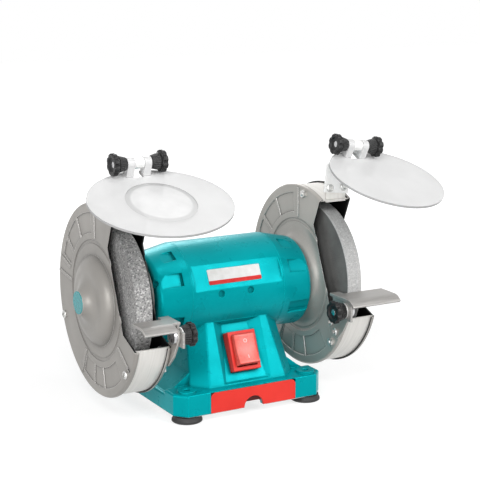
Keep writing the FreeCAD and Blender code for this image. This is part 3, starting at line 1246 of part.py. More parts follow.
def eye_shield(side, sign, lens):
    """Bracket, pivot bolt, shield and two knobs of one wheel."""
    foot = spot("%d * wheel_place" % sign, "-tab_front", bracket_screw_height)
    level = Placement(foot, UPRIGHT)
    stand = Placement(foot, Rotation(Vector(0, 1, 0), number(side + "_bracket_lean")))
    pivot = ("0", "tab_front - pivot_front", "pivot_rise - bracket_screw_rise")
    shield_bracket(side, level, stand, pivot)
    bolt = ("-pivot_bolt_half", *pivot[1:])
    pivot_bolts.append(rod(side + "_pivot_bolt", "pin_radius", "2 * pivot_bolt_half", bolt, ALONG_X, stand))
    tilt = Rotation(Vector(1, 0, 0), number(side + "_shield_tilt"))
    hinge = stand.multiply(Placement(spot(*pivot), tilt))
    middle = (side + "_shield_offset", "-%s_shield_reach" % side)
    rim = doc.addObject("Part::Ellipse", side + "_shield_rim")
    set_sizes(rim, MajorRadius=side + "_shield_half_width", MinorRadius=side + "_shield_half_height")
    place(rim, (*middle, "-shield_drop - shield_sheet"), UPRIGHT, hinge)
    pane = doc.addObject("Part::Extrusion", side + "_shield_pane")
    pane.Base = rim
    pane.DirMode = "Custom"
    pane.Dir = hinge.Rotation.multVec(Vector(0, 0, 1))
    pane.setExpression("LengthFwd", bound("shield_sheet"))
    pane.Solid = True
    ears = []
    ear_start = "(arm_half + hinge_gap)"
    ear_length = "(ear_end - %s)" % ear_start
    for i, start in enumerate((ear_start, "-ear_end")):
        ears.append(rod("%s_ear%d" % (side, i), "ear_radius", ear_length, (start, "0", "0"), ALONG_X, hinge))
        ears.append(block(
            "%s_ear_foot%d" % (side, i), (ear_length, "1.5 * ear_radius", "shield_drop + over"),
            (start, "-ear_radius", "-shield_drop - over"), UPRIGHT, hinge,
        ))
    tools = [
        block(side + "_shield_gap", ("2 * %s" % ear_start, "8 * ear_radius", "2 * shield_drop"),
              ("-%s" % ear_start, "-ear_radius - over", "-1.9 * shield_drop"), UPRIGHT, hinge),
        rod(side + "_ear_hole", "pin_hole", "2 * (ear_end + over)",
            ("-ear_end - over", "0", "0"), ALONG_X, hinge),
    ]
    if lens:
        below = (*middle, "-2 * shield_drop")
        tools.append(rod(side + "_lens_hole", "lens_radius + 0.1", "2 * shield_drop", below, UPRIGHT, hinge))
        seat = (*middle, "-shield_drop - shield_sheet")
        disc = rod(side + "_lens_disc", "lens_radius", "shield_sheet + lens_crown", seat, UPRIGHT, hinge)
        ball = doc.addObject("Part::Sphere", side + "_lens_curve")
        set_sizes(ball, Radius="lens_curve")
        place(ball, (*middle, "lens_crown - shield_drop - lens_curve"), UPRIGHT, hinge)
        crown = doc.addObject("Part::MultiCommon", side + "_magnifier")
        crown.Shapes = [disc, ball]
        node(side + "_magnifier", crown)
    node(side + "_eye_shield", cut(side + "_eye_shield", fuse(side + "_shield_form", pane, *ears), *tools))
    for end, out in (("outer", sign), ("inner", -sign)):
        knob = "%s_shield_knob_%s" % (side, end)
        node(knob, fluted(
            knob, "shield_knob_neck", "shield_knob_waist", "shield_knob_radius", "shield_knob_grip",
            "shield_knob_length", ("%d * shield_knob_start" % out, *pivot[1:]),
            Rotation(Vector(0, 1, 0), 90 * out), stand,
        ))


eye_shield("left", -1, True)
eye_shield("right", 1, False)
node("bracket_screws", group("bracket_screws", bracket_screws))
node("shield_pivot_bolts", group("shield_pivot_bolts", pivot_bolts))

# Tool rests: support bracket on the inner guard plate, clamp bolt, slotted rest, washer and knob.
clamp = ("-clamp_front", "shaft_height - clamp_drop")
support_face = "plate_plane - support_sheet"
support_corners = [
    ("-60", "-28"),
    ("-66", "-46"),
    ("-79", "-49"),
    ("-90", "-38"),
    ("-clamp_front - 0.85 * support_end", "-clamp_drop - support_end / 2"),
    ("-clamp_front + support_end / 2", "-clamp_drop + 0.85 * support_end"),
    ("-clamp_front + support_end", "-clamp_drop"),
    ("-80", "-27"),
]
support_plate = padded(
    "support_plate", "YZ_Plane", support_corners, "support_sheet", (support_face, "0", "shaft_height"))
support_end = rod("support_end", "support_end", "support_sheet", (support_face, *clamp))
support_before = "plate_plane - 2 * support_sheet"
support_through = "4 * support_sheet"
support_tools = [rod("support_hole", "pin_hole", support_through, (support_before, *clamp))]
support_screws = []
for i, (across, up) in enumerate(rest_screw_spots):
    before = (support_before, across, up)
    support_tools.append(rod("support_screw_hole%d" % i, "small_hole", support_through, before))
    head = ("%s - small_head_height" % support_face, across, up)
    support_screws.append(screw(
        "support_screw%d" % i, "support_head", "small_head_height", "small_shank", "support_shank", head))
support_form = fuse("support_form", support_plate, support_end)
node("right_rest_bracket", cut("right_rest_bracket", support_form, *support_tools))
node("left_rest_bracket", mirrored("left_rest_bracket", nodes["right_rest_bracket"]))
both_sides("rest_bracket_screws", group("right_support_screws", support_screws))
washer_face = "(rest_flange - clamp_gap - clamp_washer_sheet)"
knob_face = "(%s - clamp_gap)" % washer_face
stem_end = "(%s - rest_knob_length + over)" % knob_face
bolt_head = rod("bolt_head", "clamp_head", "clamp_head_height", ("plate_plane", *clamp))
bolt_stem = rod("bolt_stem", "pin_radius", "plate_plane - %s + over" % stem_end, (stem_end, *clamp))
both_sides("rest_clamp_bolts", fuse("right_clamp_bolt", bolt_head, bolt_stem))


def rest_profile(front):
    """Section across the rest: a flat sheet with its front edge rolled down."""
    bend = "(%s - rest_bend)" % front
    radius = "((rest_bend ^ 2 + rest_lip ^ 2) / (2 * rest_lip))"
    share = "(1 - rest_sheet / %s)" % radius
    inner_end = "-rest_top - %s + (%s - rest_lip) * %s" % (radius, radius, share)
    return [
        ("-rest_rear", "-rest_top - rest_sheet"),
        ("-rest_rear", "-rest_top"),
        ("-%s" % bend, "-rest_top"),
        ("-(%s)" % front, "-rest_top - rest_lip", radius),
        ("-%s - rest_bend * %s" % (bend, share), inner_end),
        ("-%s" % bend, "-rest_top - rest_sheet", "rest_sheet - %s" % radius),
    ]


def tool_rest(side):
    """The rest of one wheel, drawn on the right-hand side of the machine."""
    front = side + "_rest_front"
    table = padded(
        side + "_rest_table", "YZ_Plane", rest_profile(front), "%s_rest_end - rest_side" % side,
        ("rest_side", "0", "shaft_height"),
    )
    underside = "shaft_height - rest_top - rest_sheet"
    cheek = block(
        side + "_rest_cheek", ("rest_cheek", "rest_rear - rest_cheek_rear", "rest_sheet"),
        ("rest_side", "-rest_rear", underside),
    )
    flange = block(
        side + "_rest_flange",
        ("flange_sheet", "flange_front - flange_rear", "flange_drop - rest_top - over"),
        ("rest_flange", "-flange_front", "shaft_height - flange_drop"),
    )
    slot_start = "rest_flange - flange_sheet"
    slot_front = ("-clamp_front - slot_in", clamp[1])
    slot_rear = ("-clamp_front + slot_out", clamp[1])
    slot_through = "3 * flange_sheet"
    tools = [
        block(side + "_slot", (slot_through, "slot_in + slot_out", "2 * slot_half"),
              (slot_start, slot_front[0], "%s - slot_half" % clamp[1])),
        rod(side + "_slot_front", "slot_half", slot_through, (slot_start, *slot_front)),
        rod(side + "_slot_rear", "slot_half", slot_through, (slot_start, *slot_rear)),
    ]
    if side == "left":
        corner = ("corner_side - rest_side + over", "%s - corner_rear + over" % front, "4 * rest_lip")
        before = ("rest_side - over", "-%s - over" % front, "shaft_height - 2 * rest_lip")
        tools.append(block("left_rest_corner", corner, before))
    return cut(side + "_rest_cut", fuse(side + "_rest_form", table, cheek, flange), *tools)


clamp_disc = rod("clamp_disc", "clamp_washer", "clamp_washer_sheet", (washer_face, *clamp))
clamp_before = ("%s - over" % washer_face, *clamp)
clamp_hole = rod("clamp_hole", "pin_hole", "clamp_washer_sheet + 2 * over", clamp_before)
right_washer = cut("right_rest_washer", clamp_disc, clamp_hole)
right_knob = fluted(
    "right_rest_knob", "rest_knob_neck", "rest_knob_waist", "rest_knob_radius", "rest_knob_grip",
    "rest_knob_length", (knob_face, *clamp), FROM_OUTSIDE,
)
node("right_tool_rest", tool_rest("right"))
node("left_tool_rest", mirrored("left_tool_rest", tool_rest("left")))
node("right_rest_washer", right_washer)
node("left_rest_washer", mirrored("left_rest_washer", right_washer))
node("right_rest_knob", right_knob)
node("left_rest_knob", mirrored("left_rest_knob", right_knob))

# Every object is sound before any file is written.
doc.recompute()
for item in doc.Objects:
    if "Invalid" in item.State or "Error" in item.State:
        raise RuntimeError("failed object: %s %s" % (item.Name, item.State))
for name, item in nodes.items():
    if item.Shape.isNull() or not item.Shape.isValid() or not item.Shape.Solids:
        raise RuntimeError("unsound shape: " + name)

os.makedirs("parts", exist_ok=True)
for name, item in nodes.items():
    item.Shape.exportStep("parts/%s.step" % name)
    print("%s: %d solids, %.0f mm3" % (name, len(item.Shape.Solids), item.Shape.Volume))
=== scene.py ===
import json
import math
import bmesh
import bpy
from mathutils import Matrix, Vector


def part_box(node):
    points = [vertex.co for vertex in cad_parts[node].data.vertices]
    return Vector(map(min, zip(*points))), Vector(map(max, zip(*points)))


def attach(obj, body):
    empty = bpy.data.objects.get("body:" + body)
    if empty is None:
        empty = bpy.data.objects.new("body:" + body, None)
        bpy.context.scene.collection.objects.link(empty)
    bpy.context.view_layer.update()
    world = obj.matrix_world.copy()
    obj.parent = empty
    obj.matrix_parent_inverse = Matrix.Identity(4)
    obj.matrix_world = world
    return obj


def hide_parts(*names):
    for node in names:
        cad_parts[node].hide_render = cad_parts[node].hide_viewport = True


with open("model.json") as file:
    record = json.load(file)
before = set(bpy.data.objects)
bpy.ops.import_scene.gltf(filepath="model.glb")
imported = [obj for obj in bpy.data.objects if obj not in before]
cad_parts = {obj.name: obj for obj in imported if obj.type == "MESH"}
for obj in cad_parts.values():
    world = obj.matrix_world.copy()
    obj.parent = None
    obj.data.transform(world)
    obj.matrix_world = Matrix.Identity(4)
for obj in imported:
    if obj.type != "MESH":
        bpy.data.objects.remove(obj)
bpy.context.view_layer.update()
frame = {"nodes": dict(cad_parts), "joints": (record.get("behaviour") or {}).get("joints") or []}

# Motor housing and end bells: aluminium castings, machined at the joints and coated in a
# teal enamel with a little metal flake. Corners and creases are darkened as painted shade, and the edges
# are lighter, partly a thinner coat and partly painted highlight.


def new_finish(name):
    """A node material: itself, its tree, its shader and the texture coordinates of the piece."""
    finish = bpy.data.materials.new(name)
    finish.use_nodes = True
    tree = finish.node_tree
    return finish, tree, tree.nodes["Principled BSDF"], tree.nodes.new("ShaderNodeTexCoord")


def mottle(tree, spot, size, detail=2.0, stretch=(1, 1, 1)):
    """Soft blotches of about this size in metres, longer where stretch is below one."""
    spread = tree.nodes.new("ShaderNodeMapping")
    spread.inputs["Scale"].default_value = [share / size for share in stretch]
    noise = tree.nodes.new("ShaderNodeTexNoise")
    noise.inputs["Scale"].default_value = 1.0
    noise.inputs["Detail"].default_value = detail
    tree.links.new(spot.outputs["Object"], spread.inputs["Vector"])
    tree.links.new(spread.outputs["Vector"], noise.inputs["Vector"])
    return noise.outputs["Fac"]


def shades(tree, amount, *stops):
    """Colours laid out along an amount; each stop is (place, red, green, blue)."""
    ramp = tree.nodes.new("ShaderNodeValToRGB")
    row = ramp.color_ramp.elements
    while len(row) < len(stops):
        row.new(1.0)
    for mark, (place, *colour) in zip(row, stops):
        mark.position = place
        mark.color = (*colour, 1.0)
    tree.links.new(amount, ramp.inputs["Fac"])
    return ramp.outputs["Color"]


def levels(tree, amount, low, high, from_low=0.3, from_high=0.7):
    """An amount stretched to run from low to high."""
    scale = tree.nodes.new("ShaderNodeMapRange")
    sizes = {"From Min": from_low, "From Max": from_high, "To Min": low, "To Max": high}
    for name, value in sizes.items():
        scale.inputs[name].default_value = value
    tree.links.new(amount, scale.inputs["Value"])
    return scale.outputs["Result"]


def worked(tree, kind, first, second=0.0):
    """Two amounts joined by a sum, product or other step."""
    step = tree.nodes.new("ShaderNodeMath")
    step.operation = kind
    for socket, value in zip(step.inputs, (first, second)):
        if isinstance(value, (int, float)):
            socket.default_value = value
        else:
            tree.links.new(value, socket)
    return step.outputs["Value"]


def blended(tree, amount, under, over):
    """One colour laid over another by an amount."""
    mix = tree.nodes.new("ShaderNodeMix")
    mix.data_type = "RGBA"
    tree.links.new(amount, mix.inputs["Factor"])
    for socket, colour in ((mix.inputs[6], under), (mix.inputs[7], over)):
        if isinstance(colour, tuple):
            socket.default_value = (*colour, 1.0)
        else:
            tree.links.new(colour, socket)
    return mix.outputs[2]


def along_way(tree, vector, way):
    """How far a vector runs along a way, which is fixed or worked out for each place."""
    product = tree.nodes.new("ShaderNodeVectorMath")
    product.operation = "DOT_PRODUCT"
    tree.links.new(vector, product.inputs[0])
    if isinstance(way, bpy.types.NodeSocket):
        tree.links.new(way, product.inputs[1])
    else:
        product.inputs[1].default_value = way
    return product.outputs["Value"]


def soft_edges(tree, radius):
    """Normals that run round the edges, and how much of an edge each place is."""
    edge = tree.nodes.new("ShaderNodeBevel")
    edge.samples = 6
    edge.inputs["Radius"].default_value = radius
    flat = tree.nodes.new("ShaderNodeNewGeometry")
    straight = along_way(tree, edge.outputs["Normal"], flat.outputs["Normal"])
    return edge.outputs["Normal"], levels(tree, straight, 1.0, 0.0, from_low=0.75, from_high=0.99)


def creases(tree, reach, alone=True, corner=0.45, open_at=0.95):
    """How closed in each place is, alone or with its neighbours: 0 in the open, 1 in a corner."""
    open_sky = tree.nodes.new("ShaderNodeAmbientOcclusion")
    open_sky.samples = 8
    open_sky.only_local = alone
    open_sky.inputs["Distance"].default_value = reach
    return levels(tree, open_sky.outputs["AO"], 1.0, 0.0, from_low=corner, from_high=open_at)


def lay_on(tree, shader, colour, roughness, metal=0.0, shine=0.5):
    """Gives a finish its colour and roughness, and how metallic and how shiny it is."""
    tree.links.new(colour, shader.inputs["Base Color"])
    tree.links.new(roughness, shader.inputs["Roughness"])
    shader.inputs["Metallic"].default_value = metal
    shader.inputs["Specular IOR Level"].default_value = shine


def grain(tree, shader, height, depth, normal=None):
    """Relief of the given depth in metres on the surface."""
    bump = tree.nodes.new("ShaderNodeBump")
    bump.inputs["Distance"].default_value = depth
    tree.links.new(height, bump.inputs["Height"])
    if normal is not None:
        tree.links.new(normal, bump.inputs["Normal"])
    tree.links.new(bump.outputs["Normal"], shader.inputs["Normal"])


def coat(finish, *names):
    """Puts a finish on nodes of the frame."""
    for name in names:
        mesh = frame["nodes"][name].data
        if not mesh.materials:
            mesh.materials.append(finish)
        for number in range(len(mesh.materials)):
            mesh.materials[number] = finish


teal_enamel, tree, shader, spot = new_finish("teal_enamel")
normal, edge = soft_edges(tree, radius=0.0014)
clouds = mottle(tree, spot, size=0.045)
coat_colour = shades(tree, clouds, (0.3, 0.0, 0.31, 0.345), (0.7, 0.0, 0.36, 0.395))
# Painted shade: the coat is darkened where neighbouring pieces close in round it.
enamel_corner_shade = worked(tree, "MULTIPLY", creases(tree, reach=0.005, alone=False), 0.75)
coat_colour = blended(tree, enamel_corner_shade, coat_colour, (0.0, 0.07, 0.08))
# Lighter along the edges: partly a thinner coat, partly painted highlight.
thin_coat_and_edge_highlight = worked(tree, "MULTIPLY", edge, 0.55)
lay_on(
    tree, shader, blended(tree, thin_coat_and_edge_highlight, coat_colour, (0.0, 0.66, 0.69)),
    levels(tree, mottle(tree, spot, size=0.012, detail=3.0), 0.25, 0.36), metal=0.2, shine=0.2)
peel = mottle(tree, spot, size=0.0022, detail=1.0)
grain(tree, shader, peel, depth=0.00005, normal=normal)
shader.inputs["Specular Tint"].default_value = (0.1, 0.9, 0.95, 1.0)
coat(teal_enamel, "motor_housing", "left_end_bell", "right_end_bell")

# End bell screws: zinc plated cap screws with a hexagon socket, sunk in the wells of the
# bells. Four on each side draw the bell onto the barrel.


def pick_faces(piece, wanted):
    """Selects the faces whose middle and normal pass the test, in edit mode."""
    bpy.ops.mesh.select_mode(type="FACE")
    bpy.ops.mesh.select_all(action="DESELECT")
    form = bmesh.from_edit_mesh(piece.data)
    for face in form.faces:
        face.select_set(wanted(face.calc_center_median(), face.normal))
    bmesh.update_edit_mesh(piece.data)


def turned(name, profile, facets=64):
    """A piece turned about the upright axis; profile is (height, radius) from its foot up."""
    bpy.ops.object.select_all(action="DESELECT")
    (foot, first), (second, shoulder) = profile[:2]
    bpy.ops.mesh.primitive_cylinder_add(
        vertices=facets, radius=first, depth=second - foot, location=(0, 0, (foot + second) / 2))
    piece = bpy.context.object
    piece.name = name
    bpy.ops.object.transform_apply(location=True, rotation=True, scale=True)
    bpy.ops.object.mode_set(mode="EDIT")
    pick_faces(piece, lambda middle, normal: normal.z > 0.9)
    bpy.ops.transform.resize(value=(shoulder / first, shoulder / first, 1), center_override=(0, 0, second))
    for (low, narrow), (high, wide) in zip(profile[1:], profile[2:]):
        bpy.ops.mesh.extrude_region_move(TRANSFORM_OT_translate={"value": (0, 0, high - low)})
        bpy.ops.transform.resize(value=(wide / narrow, wide / narrow, 1), center_override=(0, 0, high))
    bpy.ops.object.mode_set(mode="OBJECT")
    return piece


def hold(piece):
    """Makes one piece the only selected and active one."""
    bpy.ops.object.select_all(action="DESELECT")
    piece.select_set(True)
    bpy.context.view_layer.objects.active = piece


def cut_away(piece, tool):
    """Cuts a tool out of a piece and throws the tool away."""
    hole = piece.modifiers.new("hole", "BOOLEAN")
    hole.operation = "DIFFERENCE"
    hole.solver = "EXACT"
    hole.object = tool
    hold(piece)
    bpy.ops.object.modifier_apply(modifier="hole")
    bpy.data.objects.remove(tool)


def set_down(pattern, where, axis):
    """A copy of a piece that stands at the origin, at its place and with its top along an axis."""
    piece = pattern.copy()
    piece.data = pattern.data.copy()
    bpy.context.collection.objects.link(piece)
    upright = Vector((0, 0, 1)).rotation_difference(Vector(axis)).to_matrix().to_4x4()
    piece.matrix_world = Matrix.Translation(where) @ upright
    hold(piece)
    bpy.ops.object.transform_apply(location=True, rotation=True, scale=True)
    return piece


def one_piece(name, pattern, pieces):
    """Joins the copies of a pattern under one name and throws the pattern away."""
    hold(pieces[0])
    for piece in pieces:
        piece.select_set(True)
    bpy.ops.object.join()
    pieces[0].name = name
    bpy.data.objects.remove(pattern)
    return pieces[0]


def ring_spot(radius, angle):
    """Depth and height of a point on a ring round the shaft, at an angle above the front."""
    turn = math.radians(angle)
    return -radius * math.cos(turn), shaft_height + radius * math.sin(turn)


zinc_plate, tree, shader, spot = new_finish("zinc_plate")
normal = soft_edges(tree, radius=0.0004)[0]
spangle = mottle(tree, spot, size=0.007, detail=4.0)
lay_on(
    tree, shader, shades(tree, spangle, (0.3, 0.52, 0.52, 0.51), (0.7, 0.70, 0.70, 0.68)),
    levels(tree, spangle, 0.28, 0.46), metal=0.85)
grain(tree, shader, mottle(tree, spot, size=0.0008), depth=0.00002, normal=normal)
shaft_height = 0.111
well_floor, screw_circle, screw_angles = 0.070, 0.0385, (27, 153, 207, 333)
shank_length, shank_radius, tip_radius, tip_length = 0.029, 0.00195, 0.0014, 0.0006
cap_height, cap_radius, cap_foot, cap_round, cap_rim = 0.004, 0.0032, 0.0002, 0.0004, 0.0026
bell_screw = turned("bell_screw", (
    (-shank_length, tip_radius), (tip_length - shank_length, shank_radius), (0, shank_radius),
    (0, cap_radius - cap_foot / 2), (cap_foot, cap_radius), (cap_height - cap_round, cap_radius),
    (cap_height, cap_radius - cap_round), (cap_height, cap_rim)))
socket_radius, socket_floor, cutter_length = 0.0018, 0.0018, 0.005
bpy.ops.mesh.primitive_cylinder_add(
    vertices=6, radius=socket_radius, depth=cutter_length,
    location=(0, 0, socket_floor + cutter_length / 2))
cut_away(bell_screw, bpy.context.object)
smooth_below = math.radians(40)
bpy.ops.object.shade_smooth_by_angle(angle=smooth_below)
caps = one_piece("bell_cap_screws", bell_screw, [
    set_down(bell_screw, (side * well_floor, *ring_spot(screw_circle, angle)), (side, 0, 0))
    for side in (-1, 1) for angle in screw_angles])
caps.data.materials.append(zinc_plate)
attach(caps, "housing")
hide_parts("bell_screws")

# Front plate and switch frame: moulded red plastic, clipped into the casting. The mould
# leaves a fine spark texture on them.


def away_from(tree, spot, point):
    """Distance of each place on the piece from a point."""
    gap = tree.nodes.new("ShaderNodeVectorMath")
    gap.operation = "DISTANCE"
    gap.inputs[1].default_value = point
    tree.links.new(spot.outputs["Object"], gap.inputs[0])
    return gap.outputs["Value"]


red_plastic, tree, shader, spot = new_finish("red_plastic")
normal, edge = soft_edges(tree, radius=0.0007)
flow = mottle(tree, spot, size=0.03)
body_colour = shades(tree, flow, (0.3, 0.75, 0.033, 0.024), (0.7, 0.83, 0.043, 0.031))
# Painted shade: dark red in the notch at the foot of the front plate, and in the corners where pieces
# meet.
plate_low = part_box("front_plate")[0]
notch = away_from(tree, spot, (0, plate_low.y, plate_low.z))
notch_radius, notch_rim = 0.0100, 0.0108
notch_shade = levels(tree, notch, 1.0, 0.0, from_low=notch_radius, from_high=notch_rim)
plastic_corner_shade = worked(tree, "MULTIPLY", creases(tree, reach=0.003, alone=False), 0.7)
body_colour = blended(tree, worked(tree, "MAXIMUM", notch_shade, plastic_corner_shade), body_colour, (0.06, 0.004, 0.003))
# Painted highlight: the rounded edges are lightened.
rounded_edge = worked(tree, "MULTIPLY", edge, 0.6)
lay_on(
    tree, shader, blended(tree, rounded_edge, body_colour, (0.95, 0.16, 0.12)),
    levels(tree, mottle(tree, spot, size=0.009), 0.34, 0.46), shine=0.3)
grain(tree, shader, mottle(tree, spot, size=0.0006, detail=1.0), depth=0.000025, normal=normal)
coat(red_plastic, "front_plate", "switch_frame")

# Switch rocker: a glossy red plastic moulding in one with its axle, dished between its two
# ends and snapped into the switch frame. A bar and a ring, filled with white, mark its sides.


def pick_edges(piece, wanted):
    """Selects the edges whose two ends pass the test, in edit mode."""
    bpy.ops.mesh.select_mode(type="EDGE")
    bpy.ops.mesh.select_all(action="DESELECT")
    form = bmesh.from_edit_mesh(piece.data)
    for line in form.edges:
        line.select_set(wanted(line.verts[0].co, line.verts[1].co))
    bmesh.update_edit_mesh(piece.data)


rocker_half, rocker_wide, rocker_under, rocker_end = 0.0145, 0.011, -0.002, 0.0102
rocker_dip, rocker_curve, rocker_round, rocker_rows = 0.0018, 1.4, 0.0011, 12
face_above, close, rocker_smooth = 0.005, 0.0001, math.radians(35)


def rocker_face(along):
    """How far the rocker's face is below its ends."""
    return rocker_dip * (1 - (abs(along) / rocker_half) ** rocker_curve)


bpy.ops.object.select_all(action="DESELECT")
bpy.ops.mesh.primitive_cube_add(
    size=1, location=(0, 0, (rocker_under + rocker_end) / 2),
    scale=(2 * rocker_wide, 2 * rocker_half, rocker_end - rocker_under))
rocker = bpy.context.object
rocker.name = "rocker_moulding"
bpy.ops.object.transform_apply(location=True, rotation=True, scale=True)
bpy.ops.object.mode_set(mode="EDIT")
pick_edges(rocker, lambda one, other: abs(one.y - other.y) > rocker_half)
bpy.ops.mesh.subdivide(number_cuts=rocker_rows - 1)
for row in range(1, rocker_rows):
    along = rocker_half * (2 * row / rocker_rows - 1)
    pick_edges(rocker, lambda one, other: min(one.z, other.z) > face_above
               and abs(one.y - along) < close and abs(other.y - along) < close)
    bpy.ops.transform.translate(value=(0, 0, -rocker_face(along)))
pick_edges(rocker, lambda one, other: min(one.z, other.z) > face_above and (
    min(abs(one.x), abs(other.x)) > rocker_wide - close and one.x * other.x > 0
    or min(abs(one.y), abs(other.y)) > rocker_half - close and one.y * other.y > 0))
bpy.ops.mesh.bevel(offset=rocker_round, segments=3, affect="EDGES")
bpy.ops.object.mode_set(mode="OBJECT")
bpy.ops.object.shade_smooth_by_angle(angle=rocker_smooth)
rocker_red, tree, shader, spot = new_finish("rocker_red")
flow = mottle(tree, spot, size=0.012)
lay_on(
    tree, shader, shades(tree, flow, (0.3, 0.86, 0.11, 0.085), (0.7, 0.94, 0.15, 0.12)),
    levels(tree, mottle(tree, spot, size=0.006), 0.22, 0.32))
grain(tree, shader, mottle(tree, spot, size=0.0006, detail=1.0), depth=0.00001)
rocker.data.materials.append(rocker_red)
mark_white, tree, shader, spot = new_finish("mark_white")
fill = mottle(tree, spot, size=0.001)
lay_on(
    tree, shader, shades(tree, fill, (0.3, 0.72, 0.70, 0.68), (0.7, 0.82, 0.80, 0.78)),
    levels(tree, fill, 0.4, 0.55))
mark_place, mark_lean, mark_line, ring_radius, bar_length = 0.0078, 0.135, 0.00035, 0.0016, 0.0034
mark_level = rocker_end - rocker_face(mark_place)
bpy.ops.mesh.primitive_torus_add(
    major_radius=ring_radius, minor_radius=mark_line, major_segments=32, minor_segments=8,
    location=(0, mark_place, mark_level), rotation=(mark_lean, 0, 0))
ring_mark = bpy.context.object
bpy.ops.mesh.primitive_cylinder_add(
    vertices=16, radius=mark_line, depth=bar_length, location=(0, -mark_place, mark_level),
    rotation=(math.pi / 2 - mark_lean, 0, 0))
bar_mark = bpy.context.object
for mark in (ring_mark, bar_mark):
    mark.data.materials.append(mark_white)
axle_radius, axle_stub = 0.0015, 0.0013
bpy.ops.mesh.primitive_cylinder_add(
    vertices=24, radius=axle_radius, depth=2 * (rocker_wide + axle_stub), rotation=(0, math.pi / 2, 0))
axle = bpy.context.object
axle.data.materials.append(rocker_red)
hold(rocker)
for part in (ring_mark, bar_mark, axle):
    part.select_set(True)
bpy.ops.object.join()
turn_joints = {joint["name"]: joint for joint in frame["joints"]}
panel_lean, off_tilt = math.radians(90 - 22.479), math.radians(-6)
axle_place = Matrix.Translation(turn_joints["rocker_press"]["pos_m"])
rocker.matrix_world = axle_place @ Matrix.Rotation(panel_lean + off_tilt, 4, "X")
hold(rocker)
bpy.ops.object.transform_apply(location=True, rotation=True, scale=True)
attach(rocker, "switch_rocker")
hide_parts("switch_rocker")

# Rubber feet: moulded black rubber, a wide lip below and a spigot pushed up into the casting,
# bored for the bench bolt and hollow underneath so that they grip.
foot_x, foot_y, lip_width, hollow_depth = 0.0655, 0.062, 0.0030, 0.0012
bench_bolt_hole, foot_drill = 0.00325, 0.04
foot = turned("foot", (
    (0, 0.0138), (0.0007, 0.01475), (0.0024, 0.0146), (0.0030, 0.0139), (0.0038, 0.0137),
    (0.0042, 0.01345), (0.0060, 0.01325), (0.0060, 0.0060), (0.0099, 0.0060), (0.0105, 0.0054)))
bpy.ops.object.mode_set(mode="EDIT")
pick_faces(foot, lambda middle, normal: normal.z < -0.9)
bpy.ops.mesh.inset(thickness=lip_width, depth=0)
bpy.ops.mesh.extrude_region_move(TRANSFORM_OT_translate={"value": (0, 0, hollow_depth)})
bpy.ops.object.mode_set(mode="OBJECT")
bpy.ops.mesh.primitive_cylinder_add(vertices=32, radius=bench_bolt_hole, depth=foot_drill)
cut_away(foot, bpy.context.object)
bpy.ops.object.shade_smooth_by_angle(angle=smooth_below)
feet = one_piece("foot_mouldings", foot, [
    set_down(foot, (side * foot_x, end * foot_y, 0), (0, 0, 1)) for side in (-1, 1) for end in (-1, 1)])
foot_rubber, tree, shader, spot = new_finish("foot_rubber")
bloom = mottle(tree, spot, size=0.010, detail=4.0)
lay_on(
    tree, shader, shades(tree, bloom, (0.3, 0.010, 0.010, 0.010), (0.72, 0.028, 0.028, 0.029)),
    levels(tree, bloom, 0.5, 0.7))
grain(tree, shader, mottle(tree, spot, size=0.0009), depth=0.00005)
feet.data.materials.append(foot_rubber)
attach(feet, "housing")
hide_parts("rubber_feet")

# Bottom plate and cable gland: zinc plated sheet held under the casting by four pan head
# screws with a cross recess, and a black nylon gland in the back wall.


def pan_screw(name, head, shank, length):
    """A pan head screw with a cross recess, its head standing on the ground plane."""
    tip_share = 0.7
    stem = ((-length, shank * tip_share), (tip_length - length, shank), (0, shank))
    dome = ((0, 0.96), (0.0003, 1.0), (0.0010, 1.0), (0.0017, 0.88), (0.0021, 0.68), (0.0023, 0.45))
    piece = turned(name, stem + tuple((rise, head * share) for rise, share in dome), 48)
    arm, recess_middle, recess_share = 0.0004, 0.0020, 0.42
    bpy.ops.mesh.primitive_cube_add(size=2 * arm, location=(0, 0, recess_middle), scale=(1, 1, 4))
    cross = bpy.context.object
    bpy.ops.object.transform_apply(location=True, rotation=True, scale=True)
    bpy.ops.object.mode_set(mode="EDIT")
    for way in (Vector((1, 0, 0)), Vector((-1, 0, 0)), Vector((0, 1, 0)), Vector((0, -1, 0))):
        pick_faces(cross, lambda middle, normal: normal.dot(way) > 0.9
                   and abs(middle.dot(way) - arm) < arm / 4)
        bpy.ops.mesh.extrude_region_move(TRANSFORM_OT_translate={"value": way * head * recess_share})
    bpy.ops.object.mode_set(mode="OBJECT")
    cut_away(piece, cross)
    bpy.ops.object.shade_smooth_by_angle(angle=smooth_below)
    return piece


def screw_set(name, node, pattern, spots):
    """Copies of one screw at each (place, way its head faces), standing for a node."""
    screws = one_piece(name, pattern, [set_down(pattern, where, axis) for where, axis in spots])
    screws.data.materials.append(zinc_plate)
    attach(screws, "housing")
    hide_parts(node)


plate_screw_x, plate_screw_y, plate_face = 0.050, 0.048, 0.006
plate_screw = pan_screw("plate_screw", head=0.0036, shank=0.00195, length=0.008)
screw_set("bottom_plate_screws", "base_plate_screws", plate_screw, [
    ((side * plate_screw_x, end * plate_screw_y, plate_face), (0, 0, -1))
    for side in (-1, 1) for end in (-1, 1)])
coat(zinc_plate, "base_plate", "capacitor_clamp", "guard_mount_screws", "cover_nuts")
black_nylon, tree, shader, spot = new_finish("black_nylon")
normal = soft_edges(tree, radius=0.0008)[0]
haze = mottle(tree, spot, size=0.006, detail=3.0)
lay_on(
    tree, shader, shades(tree, haze, (0.3, 0.012, 0.012, 0.012), (0.7, 0.024, 0.024, 0.025)),
    levels(tree, haze, 0.32, 0.5))
grain(tree, shader, mottle(tree, spot, size=0.0007), depth=0.00003, normal=normal)
coat(black_nylon, "cable_gland")

